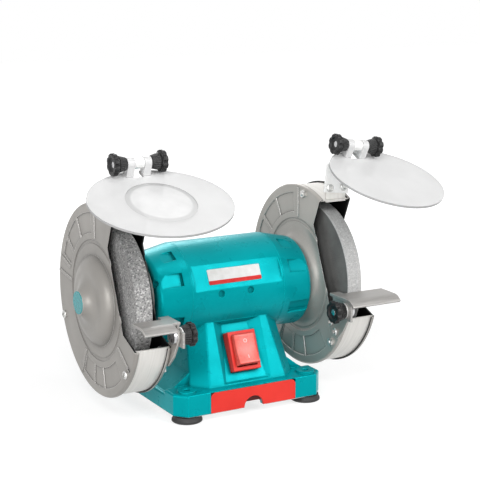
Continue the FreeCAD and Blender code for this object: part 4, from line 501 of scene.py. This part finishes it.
# Motor and electrical pieces inside: pressed core sheets, enamelled copper end turns, ground
# bearing rings and balls, the capacitor in its can and the terminal block.
core_sheets, tree, shader, spot = new_finish("core_sheets")
layers = mottle(tree, spot, size=0.0005, detail=0.0, stretch=(1, 0.02, 0.02))
lay_on(
    tree, shader, shades(tree, layers, (0.35, 0.12, 0.12, 0.13), (0.65, 0.32, 0.32, 0.33)),
    levels(tree, layers, 0.35, 0.6), metal=0.9)
grain(tree, shader, layers, depth=0.0001)
coat(core_sheets, "stator_core", "rotor_core")
copper_wire, tree, shader, spot = new_finish("copper_wire")
strands = mottle(tree, spot, size=0.0012, detail=1.0, stretch=(1, 0.15, 0.15))
lay_on(
    tree, shader, shades(tree, strands, (0.3, 0.32, 0.09, 0.03), (0.7, 0.72, 0.28, 0.10)),
    levels(tree, strands, 0.22, 0.42), metal=0.8)
grain(tree, shader, strands, depth=0.0004)
coat(copper_wire, "stator_windings")
ground_steel, tree, shader, spot = new_finish("ground_steel")
normal = soft_edges(tree, radius=0.0004)[0]
tool_marks = mottle(tree, spot, size=0.0006, detail=2.0, stretch=(1, 0.03, 0.03))
lay_on(
    tree, shader, shades(tree, tool_marks, (0.3, 0.48, 0.48, 0.49), (0.7, 0.66, 0.66, 0.66)),
    levels(tree, tool_marks, 0.2, 0.36), metal=1.0)
grain(tree, shader, tool_marks, depth=0.00002, normal=normal)
coat(ground_steel, "shaft", "bearing_outer_rings", "bearing_inner_rings", "left_bearing_balls",
     "right_bearing_balls", "preload_washer", "inner_flanges", "outer_flanges", "wheel_nuts",
     "shield_pivot_bolts", "rest_clamp_bolts")
grey_case, tree, shader, spot = new_finish("grey_case")
cast = mottle(tree, spot, size=0.008, detail=3.0)
lay_on(
    tree, shader, shades(tree, cast, (0.3, 0.24, 0.24, 0.25), (0.7, 0.34, 0.34, 0.34)),
    levels(tree, cast, 0.4, 0.55))
grain(tree, shader, mottle(tree, spot, size=0.0006), depth=0.00002)
coat(grey_case, "capacitor", "terminal_block")

# Grinding wheels: abrasive grains in a fired bond, dressed true on the rim. The left wheel is
# the coarse one; the right wheel has finer grains, a paler dressed rim and darker sides, partly their own
# tone and partly painted shade.


def grit(name, size, dark, mid, light):
    """A wheel finish with grains of the given size, and the colour of its grains."""
    finish, tree, shader, spot = new_finish(name)
    grains = tree.nodes.new("ShaderNodeTexVoronoi")
    grains.inputs["Scale"].default_value = 1 / size
    tree.links.new(spot.outputs["Object"], grains.inputs["Vector"])
    lot = tree.nodes.new("ShaderNodeSeparateColor")
    tree.links.new(grains.outputs["Color"], lot.inputs["Color"])
    colour = shades(tree, lot.outputs["Red"], (0.0, *dark), (0.45, *mid), (0.8, *mid), (1.0, *light))
    bond = mottle(tree, spot, size=2.5 * size, detail=3.0)
    tree.links.new(levels(tree, bond, 0.75, 0.95), shader.inputs["Roughness"])
    relief = worked(tree, "ADD", worked(tree, "MULTIPLY", grains.outputs["Distance"], -0.6), bond)
    grain(tree, shader, relief, depth=0.45 * size)
    shader.inputs["Specular IOR Level"].default_value = 0.2
    return finish, tree, shader, spot, colour


def from_shaft(tree, spot):
    """Distance of each place from the shaft axis, and the arm to it."""
    arm = tree.nodes.new("ShaderNodeVectorMath")
    arm.operation = "MULTIPLY_ADD"
    arm.inputs[1].default_value = (0, 1, 1)
    arm.inputs[2].default_value = (0, 0, -shaft_height)
    tree.links.new(spot.outputs["Object"], arm.inputs[0])
    length = tree.nodes.new("ShaderNodeVectorMath")
    length.operation = "LENGTH"
    tree.links.new(arm.outputs["Vector"], length.inputs[0])
    return length.outputs["Value"], arm.outputs["Vector"]


coarse_wheel, tree, shader, spot, colour = grit(
    "coarse_wheel", 0.0012, (0.18, 0.18, 0.18), (0.42, 0.415, 0.41), (0.74, 0.73, 0.72))
tree.links.new(colour, shader.inputs["Base Color"])
coat(coarse_wheel, "left_wheel")
fine_wheel, tree, shader, spot, colour = grit(
    "fine_wheel", 0.0007, (0.38, 0.38, 0.38), (0.52, 0.52, 0.515), (0.68, 0.68, 0.67))
radius = from_shaft(tree, spot)[0]
side_edge, rim_edge = 0.0742, 0.0747
dressed = levels(tree, radius, 0.0, 1.0, from_low=side_edge, from_high=rim_edge)
# The sides are darker, partly their own tone and partly painted shade from inside the guard.
smears = mottle(tree, spot, size=0.02, detail=4.0)
colour_with_painted_shade = shades(tree, smears, (0.3, 0.125, 0.125, 0.122), (0.7, 0.18, 0.18, 0.175))
tree.links.new(blended(tree, dressed, colour_with_painted_shade, colour), shader.inputs["Base Color"])
coat(fine_wheel, "right_wheel")

# Wheel guards: pressed sheet covers and inner plates in satin grey paint, with painted shade in black
# inside the guard, and black along the cut edges of the mouth. The rest brackets have the same paint.


def inner_shade_and_cut_edge(tree, spot, across):
    """How black each place is, painted shade inside the guard and black along the cut edges of the mouth:
    across is 1 for a cover and -1 for an inner plate.
    """
    place = tree.nodes.new("ShaderNodeSeparateXYZ")
    tree.links.new(spot.outputs["Object"], place.inputs["Vector"])
    sideways = along_way(tree, spot.outputs["Normal"], (1, 0, 0))
    out = worked(tree, "MULTIPLY", sideways, worked(tree, "SIGN", place.outputs["X"]))
    inside = levels(tree, worked(tree, "MULTIPLY", out, -across), 0.0, 1.0, from_low=0.1, from_high=0.25)
    radius, arm = from_shaft(tree, spot)
    mouth_rise, mouth_line, rim_line = math.radians(22.5), 0.0488, 0.0915
    ahead = along_way(tree, arm, (0, -math.cos(mouth_rise), math.sin(mouth_rise)))
    cut_edge = levels(tree, worked(tree, "ABSOLUTE", sideways), 1.0, 0.0, from_low=0.2, from_high=0.4)
    cut_edge = worked(tree, "MULTIPLY", cut_edge, worked(tree, "GREATER_THAN", ahead, mouth_line))
    cut_edge = worked(tree, "MULTIPLY", cut_edge, worked(tree, "LESS_THAN", radius, rim_line))
    return worked(tree, "MAXIMUM", inside, cut_edge)


for name, across, lighter_copy, nodes in (
    ("cover_paint", 1, 1.0, ("left_outer_cover", "right_outer_cover")),
    ("plate_paint", -1, 1.25, ("left_inner_guard", "right_inner_guard")),
    ("bracket_paint", 0, 1.1, ("left_rest_bracket", "right_rest_bracket")),
):
    finish, tree, shader, spot = new_finish(name)
    normal, edge = soft_edges(tree, radius=0.0012)
    # The inner plates take a lighter copy of the cover paint, painted light for how brightly they are lit;
    # the brackets take a slightly lighter one.
    thick = [lighter_copy * part for part in (0.32, 0.305, 0.285)]
    thin = [lighter_copy * part for part in (0.38, 0.362, 0.338)]
    paint = shades(tree, mottle(tree, spot, size=0.05), (0.3, *thick), (0.7, *thin))
    # Painted shade: the broad hollows of the dome and dish, and the creases beside the pads and ribs, are
    # darkened.
    hollow = worked(tree, "MULTIPLY", creases(tree, reach=0.03, corner=0.68, open_at=0.97), 0.75)
    shadow = blended(tree, hollow, paint, (0.05, 0.047, 0.044))
    pad_crease_shade = worked(tree, "MULTIPLY", creases(tree, reach=0.004), 0.9)
    colour_with_painted_shade = blended(tree, pad_crease_shade, shadow, (0.03, 0.028, 0.026))
    # Painted highlight: the edges and ribs are lightened.
    painted_edge_highlight = blended(tree, worked(tree, "MULTIPLY", edge, 0.9), colour_with_painted_shade, (0.82, 0.80, 0.77))
    # Painted shade: black inside the guard, and black along the cut edges of the mouth.
    if across:
        painted_edge_highlight = blended(tree, inner_shade_and_cut_edge(tree, spot, across), painted_edge_highlight, (0.012, 0.012, 0.012))
    lay_on(
        tree, shader, painted_edge_highlight,
        levels(tree, mottle(tree, spot, size=0.010, detail=3.0), 0.30, 0.40), metal=0.35, shine=0.3)
    grain(tree, shader, mottle(tree, spot, size=0.0011), depth=0.00004, normal=normal)
    coat(finish, *nodes)

# Guard bands: bare rolled steel strip round each guard, black inside as painted shade, with a tab bent out
# in front that carries the shield bracket.
band_steel, tree, shader, spot = new_finish("band_steel")
rolled = mottle(tree, spot, size=0.0016, detail=3.0, stretch=(1, 0.03, 0.03))
bright = shades(tree, rolled, (0.3, 0.80, 0.78, 0.74), (0.7, 0.91, 0.89, 0.85))
radius, arm = from_shaft(tree, spot)
outward = along_way(tree, arm, spot.outputs["Normal"])
# Painted shade: black on the inner face of the band.
band_inner_shade = levels(tree, outward, 1.0, 0.0, from_low=-0.03, from_high=-0.01)
band_middle = 0.0906
band_inner_shade = worked(tree, "MULTIPLY", band_inner_shade, worked(tree, "LESS_THAN", radius, band_middle))
lay_on(
    tree, shader, blended(tree, band_inner_shade, bright, (0.014, 0.014, 0.014)),
    levels(tree, rolled, 0.32, 0.46), metal=0.3)
grain(tree, shader, rolled, depth=0.00002)
coat(band_steel, "left_guard_band", "right_guard_band")

# Guard screws: zinc plated pan head screws of three lengths. Three long ones go right through
# each guard and hold its cover, two hold the shield bracket to the band's tab and two hold the
# rest bracket to the inner plate.
cover_face, cover_circle, cover_angles = 0.1297, 0.086, (-40, 82, 202)
cover_screw = pan_screw("cover_screw", head=0.0040, shank=0.0020, length=0.0403)
screw_set("guard_cover_screws", "cover_screws", cover_screw, [
    ((side * cover_face, *ring_spot(cover_circle, angle)), (side, 0, 0))
    for side in (-1, 1) for angle in cover_angles])
wheel_place, tab_spread, bracket_front, bracket_height = 0.1138, 0.008, -0.0399, 0.205
bracket_screw = pan_screw("bracket_screw", head=0.0040, shank=0.0017, length=0.006)
screw_set("shield_bracket_screws", "bracket_screws", bracket_screw, [
    ((side * wheel_place + off, bracket_front, bracket_height), (0, -1, 0))
    for side in (-1, 1) for off in (-tab_spread, tab_spread)])
support_face, support_spots = 0.0913, ((-0.068, 0.077), (-0.076, 0.069))
support_screw = pan_screw("support_screw", head=0.0038, shank=0.0020, length=0.0065)
screw_set("rest_support_screws", "rest_bracket_screws", support_screw, [
    ((side * support_face, *place), (-side, 0, 0)) for side in (-1, 1) for place in support_spots])

# Badges and label: a plain teal disc on each dome, and a plain white plate with a red foot
# stripe on the barrel's facet, both printed film on thin aluminium.
badge_film, tree, shader, spot = new_finish("badge_film")
print_tone = mottle(tree, spot, size=0.004)
lay_on(
    tree, shader, shades(tree, print_tone, (0.3, 0.0, 0.30, 0.33), (0.7, 0.01, 0.38, 0.41)),
    levels(tree, print_tone, 0.2, 0.32))
grain(tree, shader, print_tone, depth=0.00002)
coat(badge_film, "hub_badges")
label_film, tree, shader, spot = new_finish("label_film")
facet_tilt = math.radians(25)
up_facet = Vector((0, math.sin(facet_tilt), math.cos(facet_tilt)))
label_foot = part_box("label_plate")[0].dot(up_facet)
height = along_way(tree, spot.outputs["Object"], up_facet)
stripe_height, ink_bleed = 0.0040, 0.0001
stripe_top = label_foot + stripe_height
stripe = levels(tree, height, 1.0, 0.0, from_low=stripe_top - ink_bleed, from_high=stripe_top + ink_bleed)
ink = mottle(tree, spot, size=0.006, detail=3.0)
white_ink = shades(tree, ink, (0.3, 0.74, 0.74, 0.72), (0.7, 0.84, 0.84, 0.83))
red_ink = shades(tree, ink, (0.3, 0.62, 0.03, 0.03), (0.7, 0.74, 0.05, 0.045))
lay_on(tree, shader, blended(tree, stripe, white_ink, red_ink), levels(tree, ink, 0.5, 0.62), shine=0.1)
grain(tree, shader, ink, depth=0.00001)
coat(label_film, "label_plate")

# Shield brackets and clamp washers: stamped and folded sheet, zinc plated and almost white.
# Each bracket is screwed to its band's tab and carries the pivot bolt of a shield.
bracket_zinc, tree, shader, spot = new_finish("bracket_zinc")
normal = soft_edges(tree, radius=0.0005)[0]
spangle = mottle(tree, spot, size=0.006, detail=4.0)
lay_on(
    tree, shader, shades(tree, spangle, (0.3, 0.84, 0.84, 0.83), (0.7, 0.93, 0.93, 0.92)),
    levels(tree, spangle, 0.3, 0.45), metal=0.5)
grain(tree, shader, mottle(tree, spot, size=0.0009), depth=0.00002, normal=normal)
coat(bracket_zinc, "left_shield_bracket", "right_shield_bracket", "left_rest_washer", "right_rest_washer")

# Tool rests: thick sheet bent down at the side for the clamp and rolled over at the front,
# scratched along its length by the work and lighter at the edges, partly worn bright and partly painted
# highlight.
rest_sheet, tree, shader, spot = new_finish("rest_sheet")
normal, edge = soft_edges(tree, radius=0.0007)
scratches = mottle(tree, spot, size=0.0014, detail=3.0, stretch=(0.06, 1, 1))
sheet_colour = shades(tree, scratches, (0.3, 0.32, 0.308, 0.295), (0.7, 0.42, 0.405, 0.39))
# Lighter at the edges: partly worn bright, partly painted highlight.
bright_edge = worked(tree, "MULTIPLY", edge, 0.7)
lay_on(
    tree, shader, blended(tree, bright_edge, sheet_colour, (0.80, 0.79, 0.77)),
    levels(tree, scratches, 0.34, 0.5), metal=0.45)
grain(tree, shader, scratches, depth=0.00003, normal=normal)
coat(rest_sheet, "left_tool_rest", "right_tool_rest")

# Eye shields and the magnifier: clear sheet plastic gone milky, cut to an oval, its polished
# edge painted grey and more opaque as painted shade for how dark it looks against the light. The magnifier
# is a lens cemented into the left shield, with a grey ring round it.
ear_foot = 0.0105
for side, tilt, lean in (("left", 21.8, 0), ("right", 23.3, 7)):
    finish, tree, shader, spot = new_finish(side + "_clear_sheet")
    tip, roll = math.radians(tilt), math.radians(lean)
    face_way = Vector((math.cos(tip) * math.sin(roll), -math.sin(tip), math.cos(tip) * math.cos(roll)))
    hinge = Vector(turn_joints[side + "_shield_tilt"]["pos_m"])
    haze = mottle(tree, spot, size=0.03, detail=3.0)
    flat = worked(tree, "ABSOLUTE", along_way(tree, spot.outputs["Normal"], face_way))
    rise = along_way(tree, spot.outputs["Object"], face_way)
    in_sheet = worked(tree, "LESS_THAN", rise, hinge.dot(face_way) - ear_foot)
    # Painted shade: the sheet's cut edge is grey and more opaque.
    edge_shade = worked(tree, "MULTIPLY", levels(tree, flat, 1.0, 0.0, from_low=0.4, from_high=0.8), in_sheet)
    pane = shades(tree, haze, (0.3, 0.74, 0.74, 0.74), (0.7, 0.79, 0.79, 0.79))
    lay_on(
        tree, shader, blended(tree, edge_shade, pane, (0.46, 0.46, 0.46)),
        levels(tree, haze, 0.08, 0.16), shine=0.2)
    tree.links.new(levels(tree, edge_shade, 0.80, 0.95, from_low=0.0, from_high=1.0), shader.inputs["Alpha"])
    coat(finish, side + "_eye_shield")
magnifier_glass, tree, shader, spot = new_finish("magnifier_glass")
lens_low, lens_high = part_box("left_magnifier")
haze = mottle(tree, spot, size=0.02, detail=3.0)
reach = away_from(tree, spot, (lens_low + lens_high) / 2)
glass_radius, grey_rim_radius = 0.0265, 0.0285
# A grey ring round the edge of the lens.
grey_lens_rim = levels(tree, reach, 0.0, 1.0, from_low=glass_radius, from_high=grey_rim_radius)
glass = shades(tree, haze, (0.3, 0.78, 0.78, 0.78), (0.7, 0.83, 0.83, 0.83))
lay_on(tree, shader, blended(tree, grey_lens_rim, glass, (0.63, 0.63, 0.63)), levels(tree, haze, 0.03, 0.08))
tree.links.new(levels(tree, haze, 0.72, 0.78), shader.inputs["Alpha"])
coat(magnifier_glass, "left_magnifier")

# Clamp knobs: black moulded knobs with a ribbed cone, a groove and a grip hollowed for the
# fingers, bored for the bolt. Two hold each shield and one each rest.
bolt_bore = 0.00306


def fluted_knob(name, profile, cone, grip):
    """A knob on its neck at the origin; cone is the ribbed stretch and grip where the hollows start."""
    facets, ribs, rib_height = 96, 24, 0.00035
    hollows, hollow_radius, hollow_length, hollow_out = 8, 0.0027, 0.02, 0.001
    knob = turned(name, profile, facets)
    bpy.ops.object.mode_set(mode="EDIT")
    pick_faces(knob, lambda middle, normal: cone[0] < middle.z < cone[1] and abs(normal.z) < 0.7 and int(
        (math.atan2(middle.y, middle.x) / math.tau + 1) * facets) % (facets // ribs) < facets // ribs // 2)
    bpy.ops.mesh.extrude_region_shrink_fatten(TRANSFORM_OT_shrink_fatten={"value": -rib_height})
    bpy.ops.object.mode_set(mode="OBJECT")
    top, out = profile[-1][0], max(radius for height, radius in profile) + hollow_out
    highest = max(height for height, radius in profile)
    tools = []
    for turn in (math.tau * number / hollows for number in range(hollows)):
        bpy.ops.mesh.primitive_cylinder_add(
            vertices=24, radius=hollow_radius, depth=hollow_length,
            location=(out * math.cos(turn), out * math.sin(turn), grip + hollow_length / 2))
        tools.append(bpy.context.object)
    hold(tools[0])
    for tool in tools:
        tool.select_set(True)
    bpy.ops.object.join()
    cut_away(knob, tools[0])
    bpy.ops.mesh.primitive_cylinder_add(
        vertices=32, radius=bolt_bore, depth=4 * highest, location=(0, 0, top / 2))
    cut_away(knob, bpy.context.object)
    rounded_edge = knob.modifiers.new("rounded_edge", "BEVEL")
    rounded_edge.width = 0.0004
    rounded_edge.segments = 2
    rounded_edge.limit_method = "ANGLE"
    rounded_edge.angle_limit = smooth_below
    bpy.ops.object.modifier_apply(modifier="rounded_edge")
    bpy.ops.object.shade_smooth_by_angle(angle=smooth_below)
    return knob


knob_black, tree, shader, spot = new_finish("knob_black")
normal, edge = soft_edges(tree, radius=0.0005)
haze = mottle(tree, spot, size=0.006, detail=3.0)
black = shades(tree, haze, (0.3, 0.008, 0.008, 0.008), (0.7, 0.019, 0.019, 0.020))
# Painted highlight: the edges and ribs of the knob are lightened.
painted_edge_highlight = worked(tree, "MULTIPLY", edge, 0.6)
lay_on(
    tree, shader, blended(tree, painted_edge_highlight, black, (0.21, 0.21, 0.21)),
    levels(tree, haze, 0.30, 0.46), shine=0.25)
grain(tree, shader, mottle(tree, spot, size=0.0008), depth=0.00003, normal=normal)
shield_knob = fluted_knob("shield_knob", (
    (0, 0.0055), (0.0006, 0.0060), (0.0070, 0.0077), (0.0074, 0.0078), (0.0078, 0.0070), (0.0086, 0.0070),
    (0.0090, 0.0092), (0.0098, 0.0102), (0.0132, 0.0102), (0.0140, 0.0095), (0.0140, 0.0068),
    (0.0124, 0.0058)), cone=(0.0008, 0.0068), grip=0.0088)
rest_knob = fluted_knob("rest_knob", (
    (0, 0.0080), (0.0006, 0.0083), (0.0056, 0.0094), (0.0060, 0.0096), (0.0064, 0.0088), (0.0070, 0.0088),
    (0.0074, 0.0104), (0.0080, 0.0112), (0.0112, 0.0112), (0.0120, 0.0104), (0.0120, 0.0076),
    (0.0106, 0.0064)), cone=(0.0008, 0.0054), grip=0.0072)
hinge_half = 0.012
for side, sign in (("left", -1), ("right", 1)):
    for name, pattern, out, start in (
        (side + "_shield_knob_outer", shield_knob, sign, hinge_half),
        (side + "_shield_knob_inner", shield_knob, -sign, hinge_half),
        (side + "_rest_knob", rest_knob, -sign, 0.0),
    ):
        joint = turn_joints[name + "_turn"]
        axis = Vector(joint["axis"]) * out
        knob = set_down(pattern, Vector(joint["pos_m"]) + axis * start, axis)
        knob.name = name + "_moulding"
        knob.data.materials.append(knob_black)
        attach(knob, name)
        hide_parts(name)
bpy.data.objects.remove(shield_knob)
bpy.data.objects.remove(rest_knob)

# Studio: a wide sheet of pale paper that keeps the shadow, and a white surround. Two soft lamps
# stand high in front, weaker ones at the left, low in front, above and behind.
floor_size, floor_level = 8, -0.0004
bpy.ops.object.select_all(action="DESELECT")
bpy.ops.mesh.primitive_plane_add(size=floor_size, location=(0, 0, floor_level))
floor = bpy.context.object
floor.name = "studio_floor"
floor_paper, tree, shader, spot = new_finish("floor_paper")
paper = mottle(tree, spot, size=0.4)
pale = shades(tree, paper, (0.3, 0.38, 0.38, 0.38), (0.7, 0.40, 0.40, 0.40))
tree.links.new(pale, shader.inputs["Base Color"])
shader.inputs["Roughness"].default_value = 0.9
shader.inputs["Specular IOR Level"].default_value = 0.0
shader.inputs["Emission Color"].default_value = (1, 1, 1, 1)


def seen(tree):
    """One for rays that come from the camera or through gloss or glass."""
    ray = tree.nodes.new("ShaderNodeLightPath")
    shown = worked(tree, "MAXIMUM", ray.outputs["Is Camera Ray"], ray.outputs["Is Glossy Ray"])
    return worked(tree, "MAXIMUM", shown, ray.outputs["Is Transmission Ray"])


shadow_reach, white_from = 0.3, 0.9
paper_glow = levels(
    tree, away_from(tree, spot, (0, 0, 0)), 0.72, 1.0, from_low=shadow_reach, from_high=white_from)
tree.links.new(worked(tree, "MULTIPLY", seen(tree), paper_glow), shader.inputs["Emission Strength"])
floor.data.materials.append(floor_paper)
world = bpy.data.worlds.new("studio")
bpy.context.scene.world = world
world.use_nodes = True
surround = world.node_tree.nodes["Background"]
surround.inputs["Color"].default_value = (1, 1, 1, 1)
ambient, white = 0.12, 1.0
strength = levels(world.node_tree, seen(world.node_tree), ambient, white, from_low=0.0, from_high=1.0)
world.node_tree.links.new(strength, surround.inputs["Strength"])
middle, lamp_distance = Vector((0, 0, 0.12)), 1.5
for name, bearing, rise, size, power in (
    ("key_lamp", -36, 40, 0.6, 10),
    ("right_lamp", 32, 30, 0.7, 10),
    ("left_lamp", -76, 5, 0.5, 4),
    ("front_lamp", -30, 8, 0.6, 6),
    ("top_lamp", 15, 70, 0.7, 4),
    ("back_lamp", 165, 30, 0.7, 7),
):
    bpy.ops.object.light_add(type="AREA")
    lamp = bpy.context.object
    lamp.name = name
    lamp.data.energy = power
    lamp.data.size = size
    around, above = math.radians(bearing), math.radians(rise)
    lamp.location = middle + lamp_distance * Vector(
        (math.sin(around) * math.cos(above), -math.cos(around) * math.cos(above), math.sin(above)))
    lamp.rotation_euler = (middle - lamp.location).to_track_quat("-Z", "Y").to_euler()

# Camera: a long lens at the photograph's viewing angle, to the left of the front and a little
# above, with the grinder in the middle of the picture.
camera_place, aim = Vector((-0.6134, -1.1492, 0.4333)), Vector((0.025, -0.0024, 0.1539))
bpy.ops.object.camera_add(location=camera_place)
camera = bpy.context.object
camera.data.lens = 101.46
camera.data.sensor_width = 36
camera.data.clip_start = 0.05
camera.rotation_euler = (aim - camera.location).to_track_quat("-Z", "Y").to_euler()
bpy.context.scene.camera = camera
bpy.context.scene.view_settings.view_transform = "Standard"
